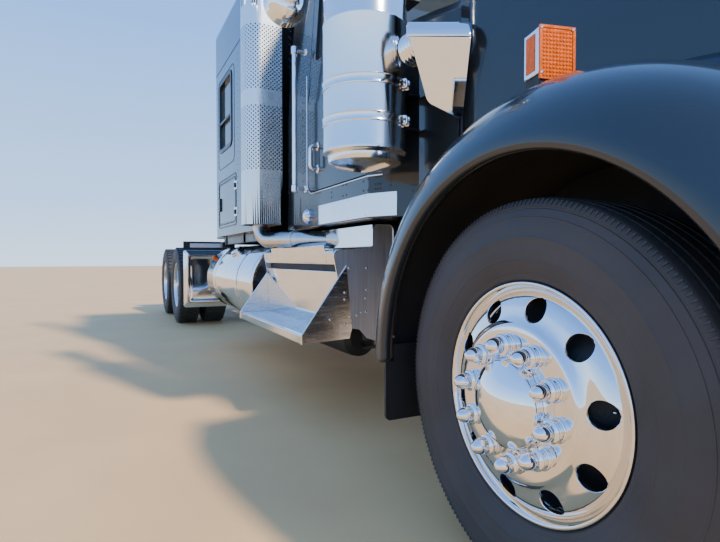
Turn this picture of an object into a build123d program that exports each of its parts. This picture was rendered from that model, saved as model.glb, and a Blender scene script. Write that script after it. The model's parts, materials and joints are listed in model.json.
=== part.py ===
from build123d import *
import os
from math import cos, radians, sin

# Long-hood sleeper tractor, 6x4. Millimetres, X forward, Y to the left, Z up from the ground.
# Side pieces are drawn on the left, at positive Y, and mirrored to the right.

# Driving dimensions
overall_length = 9200
bumper_ahead = 850
first_drive_behind = 6360
tandem_spacing = 1320
axle_height = 508
front_axle_x = overall_length / 2 - bumper_ahead

frame_half_width = 432
frame_bottom = 735
frame_top = 1005
cab_half_width = 920
sleeper_half_width = 1040
sill_z = 1060
clearance = 6


def behind(distance):
    """X of a station that lies this far behind the front axle."""
    return front_axle_x - distance


first_drive_x = behind(first_drive_behind)
second_drive_x = behind(first_drive_behind + tandem_spacing)

tyre_outer_radius = axle_height
tyre_width = 278
rim_flange_radius = 298.5
bead_radius = 286
rim_width = 236
steer_tyre_centre = 1009
dual_outer_centre = 1076
dual_spacing = 340
kingpin_y = 865

door_hinge_x = behind(1200)
door_hinge_y = 928
locker_hinge_x = behind(3510)
locker_hinge_y = 1048
hood_pivot_x = behind(-800)
hood_pivot_z = 600
fifth_wheel_x = behind(6900)
fifth_wheel_pivot_z = 1130


# Shapes
def block(x_from, x_to, y_from, y_to, z_from, z_to):
    size = Box(abs(x_to - x_from), abs(y_to - y_from), abs(z_to - z_from))
    return Pos((x_from + x_to) / 2, (y_from + y_to) / 2, (z_from + z_to) / 2) * size


def outline(points, radius):
    if radius:
        return make_face(FilletPolyline(*points, radius=radius, close=True))
    return make_face(Polyline(*points, close=True))


def side_plate(points, y_from, y_to, radius=0):
    """Outline in x and z, thick along Y."""
    face = outline([(x, y_from, z) for x, z in points], radius)
    return extrude(face, amount=y_to - y_from, dir=(0, 1, 0))


def cross_plate(points, x_from, x_to, radius=0):
    """Outline in y and z, thick along X."""
    face = outline([(x_from, y, z) for y, z in points], radius)
    return extrude(face, amount=x_to - x_from, dir=(1, 0, 0))


def flat_plate(points, z_from, z_to, radius=0):
    """Outline in x and y, thick along Z."""
    face = outline([(x, y, z_from) for x, y in points], radius)
    return extrude(face, amount=z_to - z_from, dir=(0, 0, 1))


def rectangle(low_a, high_a, low_b, high_b):
    return [(low_a, low_b), (high_a, low_b), (high_a, high_b), (low_a, high_b)]


def rod_y(x, z, radius, y_from, y_to):
    return extrude(Plane((x, y_from, z), z_dir=(0, 1, 0)) * Circle(radius), amount=y_to - y_from)


def rod_z(x, y, radius, z_from, z_to):
    return extrude(Plane((x, y, z_from), z_dir=(0, 0, 1)) * Circle(radius), amount=z_to - z_from)


def rod_x(y, z, radius, x_from, x_to):
    return extrude(Plane((x_from, y, z), z_dir=(1, 0, 0)) * Circle(radius), amount=x_to - x_from)


def turned_y(x, z, profile):
    """Profile in radius and y, turned about the line along Y through x and z."""
    return revolve(make_face(Polyline(*[(x + r, y, z) for r, y in profile], close=True)), Axis((x, 0, z), (0, 1, 0)))


def turned_z(x, y, profile):
    """Profile in radius and z, turned about the upright through x and y."""
    return revolve(make_face(Polyline(*[(x + r, y, z) for r, z in profile], close=True)), Axis((x, y, 0), (0, 0, 1)))


def pipe(points, radius, bend):
    """Round bar along straight runs joined by arcs."""
    path = FilletPolyline(*points, radius=bend) if len(points) > 2 else Line(*points)
    return sweep(Plane(path @ 0, z_dir=path % 0) * Circle(radius), path=path)


def round_corners(shape, corners):
    """Round the edges that run along X through each y and z, by the radius beside them."""
    for y, z, radius in corners:
        edges = [edge for edge in shape.edges().filter_by(Axis.X)
                 if abs(edge.center().Y - y) < 1 and abs(edge.center().Z - z) < 1]
        shape = fillet(edges, radius)
    return shape


barrel_radius = 7.5
pin_radius = 4
barrel_half = 20
leaf_half = 38
fit = 0.4


def moving_leaf(x, y, z):
    """Door half of a hinge: a plate on the skin behind the pin, and a bored barrel."""
    leaf = block(x - 90, x, y - 9, y - 4, z - barrel_half, z + barrel_half)
    leaf += rod_z(x, y, barrel_radius, z - barrel_half, z + barrel_half)
    return leaf - rod_z(x, y, pin_radius + fit, z - leaf_half, z + leaf_half)


def fixed_leaf(x, y, z, plan):
    """Body half of a hinge: a plate of the given plan, the outer barrels and the pin."""
    leaf = flat_plate([(x + ahead, y + out) for ahead, out in plan], z - leaf_half, z + leaf_half)
    leaf += rod_z(x, y, barrel_radius, z - leaf_half, z + leaf_half)
    room = barrel_radius + 5
    leaf -= block(x - room, x + room, y - room, y + room, z - barrel_half - fit, z + barrel_half + fit)
    return leaf + rod_z(x, y, pin_radius, z - leaf_half, z + leaf_half)


def other_side(shape):
    return mirror(shape, about=Plane.XZ)


def both_sides(shape):
    return [shape, other_side(shape)]


def save(name, *shapes):
    solids = [solid for shape in shapes for solid in shape.solids()]
    export_step(solids[0] if len(solids) == 1 else Compound(children=solids), f"parts/{name}.step")


os.makedirs("parts", exist_ok=True)


# Chassis frame: two channel rails and the crossmembers between them
def chassis_frame():
    web = 9
    flange = 88
    out = frame_half_width
    channel = [(out, frame_bottom), (out, frame_top), (out - flange, frame_top),
               (out - flange, frame_top - web), (out - web, frame_top - web),
               (out - web, frame_bottom + web), (out - flange, frame_bottom + web), (out - flange, frame_bottom)]
    rail = cross_plate(channel, behind(8293), behind(-400))
    rail += block(behind(-395), behind(-741), out - flange, out, 736, 785)
    rail += block(behind(-725), behind(-741), out - flange, out, 640, 785)
    # station behind the front axle, bottom, top
    crossmembers = [(-700, 738, 783), (2250, 790, 960), (3300, 790, 960), (4500, 790, 960),
                    (5650, 790, 960), (7020, 745, 995), (8205, 745, 995)]
    members = rail + other_side(rail)
    for station, low, high in crossmembers:
        half = out - flange + 1 if station < 0 else out - web + 1
        members += block(behind(station + 40), behind(station - 40), -half, half, low, high)
    return members


save("frame_rails", chassis_frame())


hood_pin = 12


# Bumper: one bright plate with swept ends, on arms that also carry the hood's pivot pins
def bumper():
    front = behind(-850)
    plate = 10
    outer = [(front - 190, -1225), (front - 60, -1150), (front, -900), (front, 900), (front - 60, 1150),
             (front - 190, 1225)]
    inner = [(front - 190, 1225 - plate), (front - 60 - plate, 1150 - plate), (front - plate, 900 - plate / 2),
             (front - plate, -900 + plate / 2), (front - 60 - plate, -1150 + plate), (front - 190, -1225 + plate)]
    blade = flat_plate(outer + inner, 330, 735)
    arms = [block(behind(-742), front - plate, y - 40, y + 40, 640, 734) for y in (-388, 388)]
    for arm in arms:
        blade += arm
    for y in (-380, 380):
        blade -= rod_x(y, 560, 32, front - 40, front + 20)
    # lugs below the arms, with the pins that the hood tilts on
    lug = side_plate([(hood_pivot_x - 30, 645), (hood_pivot_x - 22, 582), (hood_pivot_x + 22, 582),
                      (hood_pivot_x + 30, 645)], 404, 428)
    lug += rod_y(hood_pivot_x, hood_pivot_z, hood_pin, 404, 500)
    return blade + lug + other_side(lug)


save("bumper", bumper())


# Steered axle: dropped beam, kingpin bosses, leaf springs
def front_axle():
    x = front_axle_x
    half = [(0, 355), (560, 355), (760, 440), (kingpin_y, 440), (kingpin_y, 575), (740, 560), (540, 455), (0, 455)]
    beam = cross_plate(half, x - 55, x + 55)
    boss = rod_z(x, kingpin_y, 52, 435, 580)
    side = beam + boss
    side -= rod_y(x, axle_height, 40, kingpin_y + 60, kingpin_y + 90)
    spring_y = 395
    leaf = side_plate([(x - 760, 700), (x - 400, 540), (x - 60, 462), (x + 60, 462), (x + 400, 540), (x + 720, 700),
                       (x + 720, 722), (x + 400, 562), (x + 60, 498), (x - 60, 498), (x - 400, 562),
                       (x - 760, 722)], spring_y - 45, spring_y + 45)
    pad = block(x - 75, x + 75, spring_y - 55, spring_y + 55, 450, 470)
    hangers = block(x - 775, x - 725, spring_y - 30, spring_y + 30, 715, 735)
    hangers += block(x + 680, x + 720, spring_y - 30, spring_y + 30, 715, 736)
    side += pad + leaf + hangers
    return side + other_side(side)


save("front_axle", front_axle())


# Drive axles: housings with their differential bowls and spindles
def drive_axle(x):
    spindle = [(0, 0), (0, 905), (48, 905), (48, 700), (64, 690), (64, 260), (130, 190), (215, 110), (228, 0)]
    housing = turned_y(x, axle_height, spindle)
    housing += other_side(housing)
    nose = rod_x(0, axle_height + 20, 95, x + 100, x + 420)
    return housing + nose


save("drive_axles", drive_axle(first_drive_x), drive_axle(second_drive_x))


# Rear suspension: trailing arms, air springs, cross tubes and the drive shaft
def rear_suspension():
    pieces = []
    for x in (first_drive_x, second_drive_x):
        arm = side_plate([(x + 520, 640), (x + 560, 734), (x + 440, 734), (x + 60, 442), (x - 330, 442),
                          (x - 330, 400), (x + 70, 400)], 380, 450)
        bag = turned_z(x - 250, 445, [(0, 442), (85, 442), (112, 480), (112, 560), (96, 575), (112, 590),
                                      (112, 680), (85, 734), (0, 734)])
        pieces += both_sides(arm + bag)
    for x, length in ((first_drive_x + 425, 2900), (second_drive_x + 425, 660)):
        pieces.append(rod_x(0, axle_height + 20, 55, x, x + length))
    return pieces


save("rear_suspension", *rear_suspension())


# Engine and gearbox as plain blocks, radiator ahead of them
def engine():
    main = block(behind(690), behind(-380), -330, 330, 640, 1500)
    gearbox = block(behind(1900), behind(690), -230, 230, 600, 1040)
    return main + gearbox


save("engine", engine())
save("radiator", block(behind(-430), behind(-550), -420, 420, 785, 1520))


# Cab: a shell with its floor, back wall, windscreen opening and door openings
cab_front = behind(710)
cab_back = behind(2450)
screen_low = behind(1080)
screen_high = behind(1430)
screen_low_z = 1760
screen_high_z = 2560
cab_roof_z = 3020


def cab_envelope(inset):
    side = [(cab_back + inset, sill_z + inset), (cab_front - inset, sill_z + inset),
            (cab_front - inset, screen_low_z + 20 - inset), (screen_low - inset, screen_low_z + 45 - inset / 2),
            (screen_high - inset, screen_high_z), (screen_high - 150 - inset, cab_roof_z - 90 - inset),
            (screen_high - 420, cab_roof_z - inset), (cab_back + inset, cab_roof_z - inset)]
    wide = cab_half_width - inset
    front = [(-wide, sill_z), (wide, sill_z), (wide, 1800), (wide - 60, 2650), (wide - 210, cab_roof_z + 20),
             (-wide + 210, cab_roof_z + 20), (-wide + 60, 2650), (-wide, 1800)]
    nose = 790 - inset
    plan = [(cab_back - 10, -wide), (behind(1245), -wide), (behind(1000), -nose), (cab_front + 10, -nose),
            (cab_front + 10, nose), (behind(1000), nose), (behind(1245), wide), (cab_back - 10, wide)]
    body = side_plate(side, -wide - 10, wide + 10)
    body = body & cross_plate(front, cab_back - 20, cab_front + 20)
    return body & flat_plate(plan, sill_z - 10, cab_roof_z + 30)


wall = 40
door_front = door_hinge_x - clearance
door_back = behind(2062)
door_low = 1275
door_high = 2660
door_corner = 75
window_outline = [(door_back + 75, 2060), (door_front - 200, 2050), (door_front - 390, 2590), (door_back + 75, 2590)]
windscreen_outline = [(-760, screen_low_z + 90), (-25, screen_low_z + 90), (-25, screen_high_z - 40),
                      (-700, screen_high_z - 40)]


def door_outline(grow):
    """Door edge in x and z, leaning with the windscreen above its lower front corner."""
    return [(door_back - grow, door_low - grow), (door_front + grow, door_low - grow), (door_front + grow, 1760),
            (door_front - 330 + grow, door_high + grow), (door_back - grow, door_high + grow)]


def windscreen_cut():
    cut = cross_plate(windscreen_outline, behind(1600), behind(950), 60)
    return [cut, other_side(cut)]


def cab_shell():
    shell = cab_envelope(0) - cab_envelope(wall)
    shell -= side_plate(door_outline(clearance), -cab_half_width - 50, cab_half_width + 50, door_corner + clearance)
    for cut in windscreen_cut():
        shell -= cut
    shell -= block(cab_back - 10, cab_back + wall + 10, -420, 420, sill_z + wall, 2500)
    return shell


save("cab_shell", cab_shell())


# Hinge halves on the cab and the sleeper, with their pins
door_hinge_heights = (1400, 1680)
locker_hinge_heights = (1270, 1500)
cab_leaf = [(0, -7), (52, -60), (100, -86), (102, -79), (57, -53), (5, 6)]
sleeper_leaf = [(0, -8), (60, -8), (60, -4), (0, -4)]


def fixed_hinges():
    cab = cab_envelope(0)
    leaves = [fixed_leaf(door_hinge_x, door_hinge_y, z, cab_leaf) - cab for z in door_hinge_heights]
    return leaves + [fixed_leaf(locker_hinge_x, locker_hinge_y, z, sleeper_leaf) for z in locker_hinge_heights]


save("hinges", *[piece for leaf in fixed_hinges() for piece in both_sides(leaf)])


# Sleeper: a wider box with rounded roof, hollow, with window and locker openings
sleeper_front = behind(2745)
sleeper_back = behind(4330)
sleeper_floor = 1080
sleeper_roof = 3160
side_window = (behind(4130), behind(3670), 1910, 2520)
locker = (behind(4190), behind(3516), 1190, 1580)


def sleeper_envelope(inset):
    wide = sleeper_half_width - inset
    low = sleeper_floor + inset
    high = sleeper_roof - inset
    section = rectangle(-wide, wide, low - 300, high)
    tall = cross_plate(section, sleeper_back + inset, sleeper_front - inset, 120 - inset * 0.6)
    return tall & block(sleeper_back, sleeper_front, -wide, wide, low, high)


def sleeper_shell():
    shell = sleeper_envelope(0) - sleeper_envelope(wall)
    shell -= block(sleeper_front - wall - 10, sleeper_front + 10, -420, 420, sleeper_floor + wall, 2500)
    x_low, x_high, z_low, z_high = side_window
    shell -= side_plate(rectangle(x_low, x_high, z_low, z_high), -1100, 1100, 60)
    x_low, x_high, z_low, z_high = locker
    grow = clearance
    shell -= side_plate(rectangle(x_low - grow, x_high + grow, z_low - grow, z_high + grow), -1100, 1100, 30)
    # bearers below the floor, from the rails out to the sills
    for station in (2900, 3520, 4240):
        shell += block(behind(station + 40), behind(station - 40), -960, 960, frame_top + 1, sleeper_floor + 5)
    for y in (-930, 930):
        shell += block(behind(4310), behind(2765), y - 30, y + 30, frame_top + 1, sleeper_floor + 5)
    return shell


def sleeper_boot():
    """Folded rubber neck between cab and sleeper."""
    low = sleeper_floor
    high = 2900
    half = 520
    boot = block(sleeper_front, cab_back, -half, half, low, high)
    for fold in (0.25, 0.75):
        x = sleeper_front + (cab_back - sleeper_front) * fold
        boot += block(x - 35, x + 35, -half - 18, half + 18, low - 15, high + 18)
    return boot - block(sleeper_front - 10, cab_back + 10, -half + wall, half - wall, low + wall, high - wall)


save("sleeper_shell", sleeper_shell())
save("sleeper_boot", sleeper_boot())


# Fixed glass: two windscreen panes and the sleeper side windows
def fixed_glass():
    x_low, x_high, z_low, z_high = side_window
    side = side_plate(rectangle(x_low + 1, x_high - 1, z_low + 1, z_high - 1), sleeper_half_width - 25,
                      sleeper_half_width - 19, 59)
    screen = cab_envelope(15) - cab_envelope(22)
    return both_sides(side) + [screen & cut for cut in windscreen_cut()]


save("fixed_glass", *fixed_glass())


# Roof trim: sun visor, marker lamps and air horns
def air_horn(y):
    """Trumpet on two feet, its bell forward."""
    z = cab_roof_z + 100
    back = behind(2300)
    # distance from the back, radius
    trumpet = [(0, 0), (0, 34), (60, 34), (80, 18), (380, 24), (520, 42), (580, 78), (592, 78), (560, 50), (540, 0)]
    horn = revolve(make_face(Polyline(*[(back + along, y + r, z) for along, r in trumpet], close=True)),
                   Axis((back, y, z), (1, 0, 0)))
    for along in (30, 400):
        horn += block(back + along - 12, back + along + 12, y - 15, y + 15, cab_roof_z, z - 10)
    return horn


def roof_trim():
    pieces = [side_plate([(screen_high + 40, 2545), (screen_high + 260, 2470), (screen_high + 262, 2482),
                          (screen_high + 30, 2640), (screen_high - 40, 2700), (screen_high - 45, 2692)], -760, 760)]
    for y in (-620, -320, 0, 320, 620):
        pieces.append(rod_z(behind(1900), y, 35, cab_roof_z, cab_roof_z + 62))
    for y in (-470, 470):
        pieces.append(air_horn(y))
    return pieces


save("roof_trim", *roof_trim())


# Interior: dash, steering column and wheel, seats and bunk
def interior():
    floor = sill_z + wall
    dash = block(behind(1160), behind(900), -700, 700, 1360, 1700)
    column = Plane((behind(1190), 420, 1500), z_dir=(-1, 0, 0.55)) * Cylinder(28, 300)
    wheel = Plane((behind(1320), 420, 1570), z_dir=(-1, 0, 0.55)) * (Torus(225, 16) + Box(440, 40, 16))
    pieces = [dash + column + wheel]
    for y in (-430, 430):
        seat = block(behind(2380), behind(1880), y - 250, y + 250, floor, 1560)
        seat += block(behind(2400), behind(2270), y - 250, y + 250, 1560, 2300)
        pieces.append(seat)
    pieces.append(block(sleeper_back + 60, sleeper_back + 900, -980, 980, 1620, 1800))
    return pieces


save("interior", *interior())


# Grab rails behind the doors, on round feet
def grab_rail():
    x = behind(2096)
    low = 1302
    high = 2155
    foot = cab_half_width - 10
    out = cab_half_width + 75
    rail = pipe([(x, foot, low), (x, out, low), (x, out, high), (x, foot, high)], 16, 40)
    for z in (low, high):
        rail += rod_y(x, z, 27, cab_half_width - 3, cab_half_width + 9)
    return rail - cab_envelope(0)


save("grab_handles", *both_sides(grab_rail()))


# Step box on each side, under the door: two boxes stacked, arched below, with a recessed slot and a tread
def step_box():
    front = behind(1420)
    back = behind(2680)
    tread_z = 483
    # end outline in y and z, from the inner foot over the arch and up the leaning face
    body = [(640, 472), (690, 445), (730, 430), (790, 430), (840, 448), (880, 494), (925, 503), (990, 470),
            (1006, 772), (1034, 906), (804, 920), (804, 1045), (640, 1045)]
    box = cross_plate(body, back, front)
    box = round_corners(box, [(1034, 906, 30), (804, 920, 18), (804, 1045, 30)])
    box -= block(back + 30, front - 30, 975, 1060, 800, 832)
    box += block(behind(2476), behind(1528), 1016, 1037, 860, 938)
    box += cross_plate([(940, tread_z), (1200, tread_z), (1200, 440), (1192, 440), (1192, tread_z - 8),
                        (940, tread_z - 8)], back, front)
    gusset = [(957, 827), (1200, tread_z), (1200, 440), (940, 440)]
    for x in (back, front - 6):
        box += cross_plate(gusset, x, x + 6)
    box += block(back, front, frame_half_width + 1, 641, 780, 900)
    return box


save("step_box_left", step_box())
save("step_box_right", other_side(step_box()))


# Fuel tanks with their straps and brackets
def fuel_tank():
    radius = 311
    y = 805
    z = 673
    x_back = behind(4500)
    x_front = behind(2760)
    tank = rod_x(y, z, radius, x_back, x_front)
    tank = fillet(tank.edges().filter_by(GeomType.CIRCLE), 30)
    for station in (3200, 4100):
        band = rod_x(y, z, radius + 5, behind(station + 32), behind(station - 32))
        tank += band
        cradle = [(frame_half_width + 1, 990), (560, 990), (530, 820), (510, z), (540, 520), (640, 405),
                  (760, 365), (760, 340), (610, 345), (frame_half_width + 1, 500)]
        tank += cross_plate(cradle, behind(station + 45), behind(station - 45))
    neck = turned_z(behind(3620), y, [(0, z + 290), (62, z + 290), (62, z + 317), (56, z + 322), (56, z + 340),
                                      (30, z + 349), (0, z + 349)])
    return tank + neck.rotate(Axis((0, y, z), (1, 0, 0)), -38)


save("fuel_tanks", *both_sides(fuel_tank()))


# Exhaust stacks with heat guards and the elbows that feed them
stack_x = behind(2600)
stack_y = 1070
stack_top = 3940


def exhaust_stack():
    plan = rectangle(stack_x - 130, stack_x + 130, stack_y - 115, stack_y + 130)
    guard = flat_plate(plan, 1100, 2740)
    guard = fillet(guard.edges().filter_by(Axis.Z).group_by(Axis.Y)[-1], 100)
    pipe_up = rod_z(stack_x, stack_y, 80, 2740, stack_top)
    elbow = pipe([(stack_x, stack_y, 1105), (stack_x, stack_y, 984), (behind(2250), 880, 984),
                  (behind(2100), 770, 984)], 56, 90)
    return guard + pipe_up + (elbow - step_box())


save("exhaust_stacks", *both_sides(exhaust_stack()))


# Air cleaners: canister, bands, rain cap, intake shield and elbow
def air_cleaner():
    x = behind(1027)
    y = 1062
    body = 170
    band = body + 4
    profile = [(0, 1236), (80, 1250), (136, 1264), (149, 1284), (150, 1302), (body, 1310)]
    for low in (1417, 1567):
        profile += [(body, low), (band, low), (band, low + 40), (body, low + 40)]
    profile += [(body, 2010), (150, 2088), (90, 2122), (90, 2180), (190, 2200), (190, 2290), (120, 2340), (0, 2350)]
    return turned_z(x, y, profile)


save("air_cleaners", *both_sides(air_cleaner()))


# Intake shields: bright forward-facing plates between the hood and the canisters
def intake_shield():
    face = [(1002, 1720), (985, 1450), (860, 1420), (815, 1440), (806, 1720), (806, 1808), (1006, 1808)]
    plate = cross_plate(face, behind(705), behind(695), 22)
    plate += rod_y(behind(707), 1808, 12, 806, 1006)
    neck = pipe([(behind(704), 930, 1740), (behind(800), 930, 1740), (behind(900), 985, 1740)], 60, 75)
    return plate + (neck - air_cleaner())


save("intake_shields", *both_sides(intake_shield()))

# Deck plate behind the sleeper
save("deck_plate", block(behind(5450), behind(4420), -420, 420, frame_top, frame_top + 12))


# Quarter fenders ahead of the first drive wheels, flaps behind the second
def quarter_fender():
    x = behind(5765)
    gauge = 8
    border = 92
    y_low, y_high, z_low, z_high = 640, 1180, 250, 970

    def panel(inset, x_from, x_to, radius):
        edge = rectangle(y_low + inset, y_high - inset, z_low + inset, z_high - inset)
        return cross_plate(edge, x_from, x_to, radius)

    sheet = panel(0, x - 4, x + 14, 30)
    sheet -= panel(border, x + 4, x + 20, 24)
    sheet -= panel(gauge, x - 10, x + 6, 22) - panel(border - gauge, x - 12, x + 8, 32)
    flap = block(x - 6, x + 6, y_low, y_high, z_high + 2, 1080)
    arm = rod_y(x, 900, 20, frame_half_width, y_low + 20)
    return sheet + arm, flap


def rear_flap():
    x = -overall_length / 2 + 28
    outer = 1150
    flap = block(x - 5, x + 5, 600, outer, 250, 910)
    bar = rod_y(x, 930, 28, frame_half_width - 88, outer)
    return flap + bar


sheet, top_flap = quarter_fender()
save("quarter_fenders", *both_sides(sheet))
save("mud_flaps", *both_sides(top_flap), *both_sides(rear_flap()))


# Fifth wheel: brackets on the frame and the rocking plate
def fifth_wheel_base():
    base = block(fifth_wheel_x - 420, fifth_wheel_x + 420, -frame_half_width, frame_half_width, frame_top,
                 frame_top + 20)
    ear = side_plate([(fifth_wheel_x - 110, frame_top + 20), (fifth_wheel_x + 110, frame_top + 20),
                      (fifth_wheel_x + 45, fifth_wheel_pivot_z + 30), (fifth_wheel_x - 45, fifth_wheel_pivot_z + 30)],
                     395, 425)
    ear -= rod_y(fifth_wheel_x, fifth_wheel_pivot_z, 22, 380, 440)
    return base + ear + other_side(ear)


def fifth_wheel_plate():
    top = fifth_wheel_pivot_z + 75
    x = fifth_wheel_x
    table = flat_plate([(x - 480, 450), (x - 330, 460), (x + 250, 460), (x + 420, 300), (x + 420, -300),
                        (x + 250, -460), (x - 330, -460), (x - 480, -450), (x - 480, -190), (x - 190, -26),
                        (x - 190, 26), (x - 480, 190)], top - 30, top)
    lug = side_plate([(x - 60, top - 30), (x + 60, top - 30), (x + 35, fifth_wheel_pivot_z - 30),
                      (x - 35, fifth_wheel_pivot_z - 30)], 345, 385)
    lug += rod_y(fifth_wheel_x, fifth_wheel_pivot_z, 20, 384, 432)
    table += lug + other_side(lug)
    table -= rod_z(x - 140, 0, 25.45, top - 60, top + 10)
    return table


save("fifth_wheel_base", fifth_wheel_base())
save("fifth_wheel_plate", fifth_wheel_plate())


# Hood: a tapering shell with rounded shoulders, open below
hood_front_x = behind(-660)
hood_back_x = behind(700)


def hood_section(x, half, high, shoulder):
    """Upright section of the hood with rounded shoulders."""
    low = 700
    knee = shoulder * (1 - cos(radians(45)))
    left = [Line((x, -half, low), (x, -half, high - shoulder)),
            ThreePointArc((x, -half, high - shoulder), (x, knee - half, high - knee), (x, shoulder - half, high))]
    right = [ThreePointArc((x, half - shoulder, high), (x, half - knee, high - knee), (x, half, high - shoulder)),
             Line((x, half, high - shoulder), (x, half, low))]
    top = Line((x, shoulder - half, high), (x, half - shoulder, high))
    base = Line((x, half, low), (x, -half, low))
    return make_face(left + [top] + right + [base])


def hood_envelope(inset):
    # x, half width, height, shoulder radius
    stations = [(hood_back_x, 790, 1790, 130), (hood_front_x, 500, 1640, 150)]
    faces = [hood_section(x, half - inset, high - inset, shoulder - inset) for x, half, high, shoulder in stations]
    return loft(faces, ruled=True)


def hood_shell():
    skin = 12
    shell = hood_envelope(0) - hood_envelope(skin)
    low_cut = side_plate([(hood_back_x - 10, 600), (hood_front_x + 10, 600), (hood_front_x + 10, 800),
                          (hood_back_x - 10, 1080)], -900, 900)
    shell -= low_cut
    return shell + hood_arm() + other_side(hood_arm())


def hood_arm():
    """Arm from the front corner of the skin down and forward to the pivot pin."""
    x = hood_pivot_x
    arm = side_plate([(x - 145, 870), (x - 145, 708), (x - 10, 622), (x + 20, 600), (x - 12, 578), (x - 185, 676),
                      (x - 185, 870)], 464, 493)
    arm += rod_y(x, hood_pivot_z, 26, 460, 493)
    return arm - rod_y(x, hood_pivot_z, hood_pin + fit, 450, 510)


hood_solid = hood_envelope(0)
save("hood_shell", hood_shell())


# Fenders: rolled skins turned about the wheel, from the lip over the crown to the hood side
arch_z = 515
lip_radius = 607
crown_radius = 826
lip_y = 1196


def fender_round(inset, low_radius, low_y):
    """Ring about the wheel: upright lip, rolled shoulder and crown, drawn in radius and y."""
    lip = lip_y - inset
    crown = crown_radius - inset

    def at(radius, y):
        return (front_axle_x + radius, y, arch_z)

    shoulder = [at(645, lip), at(757 - 0.7 * inset, 1128 - 0.7 * inset), at(812 - inset, 1020)]
    edges = [Polyline(shoulder[2], at(crown, 900), at(crown, low_y), at(low_radius, low_y), at(low_radius, lip),
                      shoulder[0]), ThreePointArc(*shoulder)]
    return revolve(make_face(edges), Axis((front_axle_x, 0, arch_z), (0, 1, 0)))


fender_solid = fender_round(0, 1, 400)


def fender():
    skin = 10
    solid = fender_round(0, lip_radius, 520) - fender_round(skin, 500, 510)
    keep = block(behind(1000), behind(-840), 500, 1300, 500, 1500)
    keep -= block(behind(-300), behind(-1000), 490, 1310, 490, 762)
    keep -= block(behind(1010), behind(700), 490, 802, 490, 1510)
    solid = solid & keep
    return solid - hood_solid


def fender_liner():
    band = turned_y(front_axle_x, arch_z, [(640, 560), (640, 1184), (646, 1184), (646, 560)])
    band = band & block(behind(1000), behind(-690), 500, 1300, 530, 1500)
    band -= block(behind(-300), behind(-1000), 490, 1310, 490, 600)
    return band - hood_solid


save("fenders", *both_sides(fender()))
save("fender_liners", *both_sides(fender_liner()))

# Grille: surround and upright bars
def grille():
    x = hood_front_x
    frame = cross_plate(rectangle(-430, 430, 790, 1560), x, x + 40, 60)
    frame -= cross_plate(rectangle(-395, 395, 825, 1525), x - 10, x + 50, 40)
    for index in range(-10, 11):
        frame += block(x + 10, x + 30, index * 36 - 4, index * 36 + 4, 820, 1530)
    return frame


save("grille", grille())


# Lamps on the hood: head lamps beside the grille and turn signals on the fender tops
def head_lamp():
    face = behind(-800)
    pod = block(behind(-660), face, 660, 1010, 1040, 1205)
    pod = fillet(pod.edges(), 20)
    for y in (754, 916):
        pod -= cross_plate(rectangle(y - 70, y + 70, 1062, 1183), face - 10, face + 10, 14)
    arm = block(behind(-625), behind(-700), 480, 680, 1090, 1150) - hood_solid
    return pod + arm


def turn_signal():
    lamp = Pos(behind(90), 960, 1435) * Rot(0, 0, 26) * Box(80, 104, 125)
    lamp = fillet(lamp.edges().filter_by(Axis.Z), 12)
    return lamp + rod_z(behind(90), 960, 22, 1300, 1380) - fender_solid


save("hood_lamps", *both_sides(head_lamp()), *both_sides(turn_signal()))


# Front mud flaps hang from the rear ends of the fenders
def front_flap():
    return cross_plate(rectangle(640, 1182, 290, 560), behind(618), behind(608), 20)


save("front_flaps", *both_sides(front_flap()))


# Doors: panel with window opening, glass and mirrors
door_skin = 46


def door_panel():
    envelope = cab_envelope(0) - cab_envelope(door_skin)
    panel = envelope & side_plate(door_outline(0), 500, 1000, door_corner)
    panel -= side_plate(window_outline, 500, 1000, 50)
    handle = pipe([(behind(1900), 919, 1400), (behind(1900), 965, 1400), (behind(1900), 965, 1530),
                   (behind(1900), 919, 1530)], 11, 20)
    for z in door_hinge_heights:
        panel += moving_leaf(door_hinge_x, door_hinge_y, z)
    return panel + handle


def door_glass():
    envelope = cab_envelope(20) - cab_envelope(26)
    return envelope & side_plate(window_outline, 500, 1000, 50)


def mirrors():
    x = behind(1500)
    y = 1250
    head = block(x - 50, x + 50, y - 105, y + 105, 2240, 2650)
    head = fillet(head.edges(), 25)
    low = Pos(x, y, 2125) * Rot(0, 90, 0) * Cylinder(106, 55)
    low += rod_z(x, y, 12, 2200, 2260)
    for station, foot, z in ((1450, 875, 2300), (1570, 850, 2620)):
        low += pipe([(behind(station), foot, z), (x, y - 90, z)], 12, 60)
    return head + low


door = door_panel()
glass = door_glass()
mirror_set = mirrors() - cab_envelope(0)
for side, turn in (("left", lambda s: s), ("right", other_side)):
    save(f"door_{side}", turn(door))
    save(f"door_glass_{side}", turn(glass))
    save(f"mirrors_{side}", turn(mirror_set))


# Locker doors in the sleeper sides
def locker_door():
    x_low, x_high, z_low, z_high = locker
    panel = side_plate(rectangle(x_low, x_high, z_low, z_high), sleeper_half_width - 36, sleeper_half_width, 25)
    latch = block(x_low + 20, x_low + 60, sleeper_half_width, sleeper_half_width + 14, 1330, 1440)
    for z in locker_hinge_heights:
        panel += moving_leaf(locker_hinge_x, locker_hinge_y, z)
    return panel + latch


save("locker_door_left", locker_door())
save("locker_door_right", other_side(locker_door()))


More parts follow.
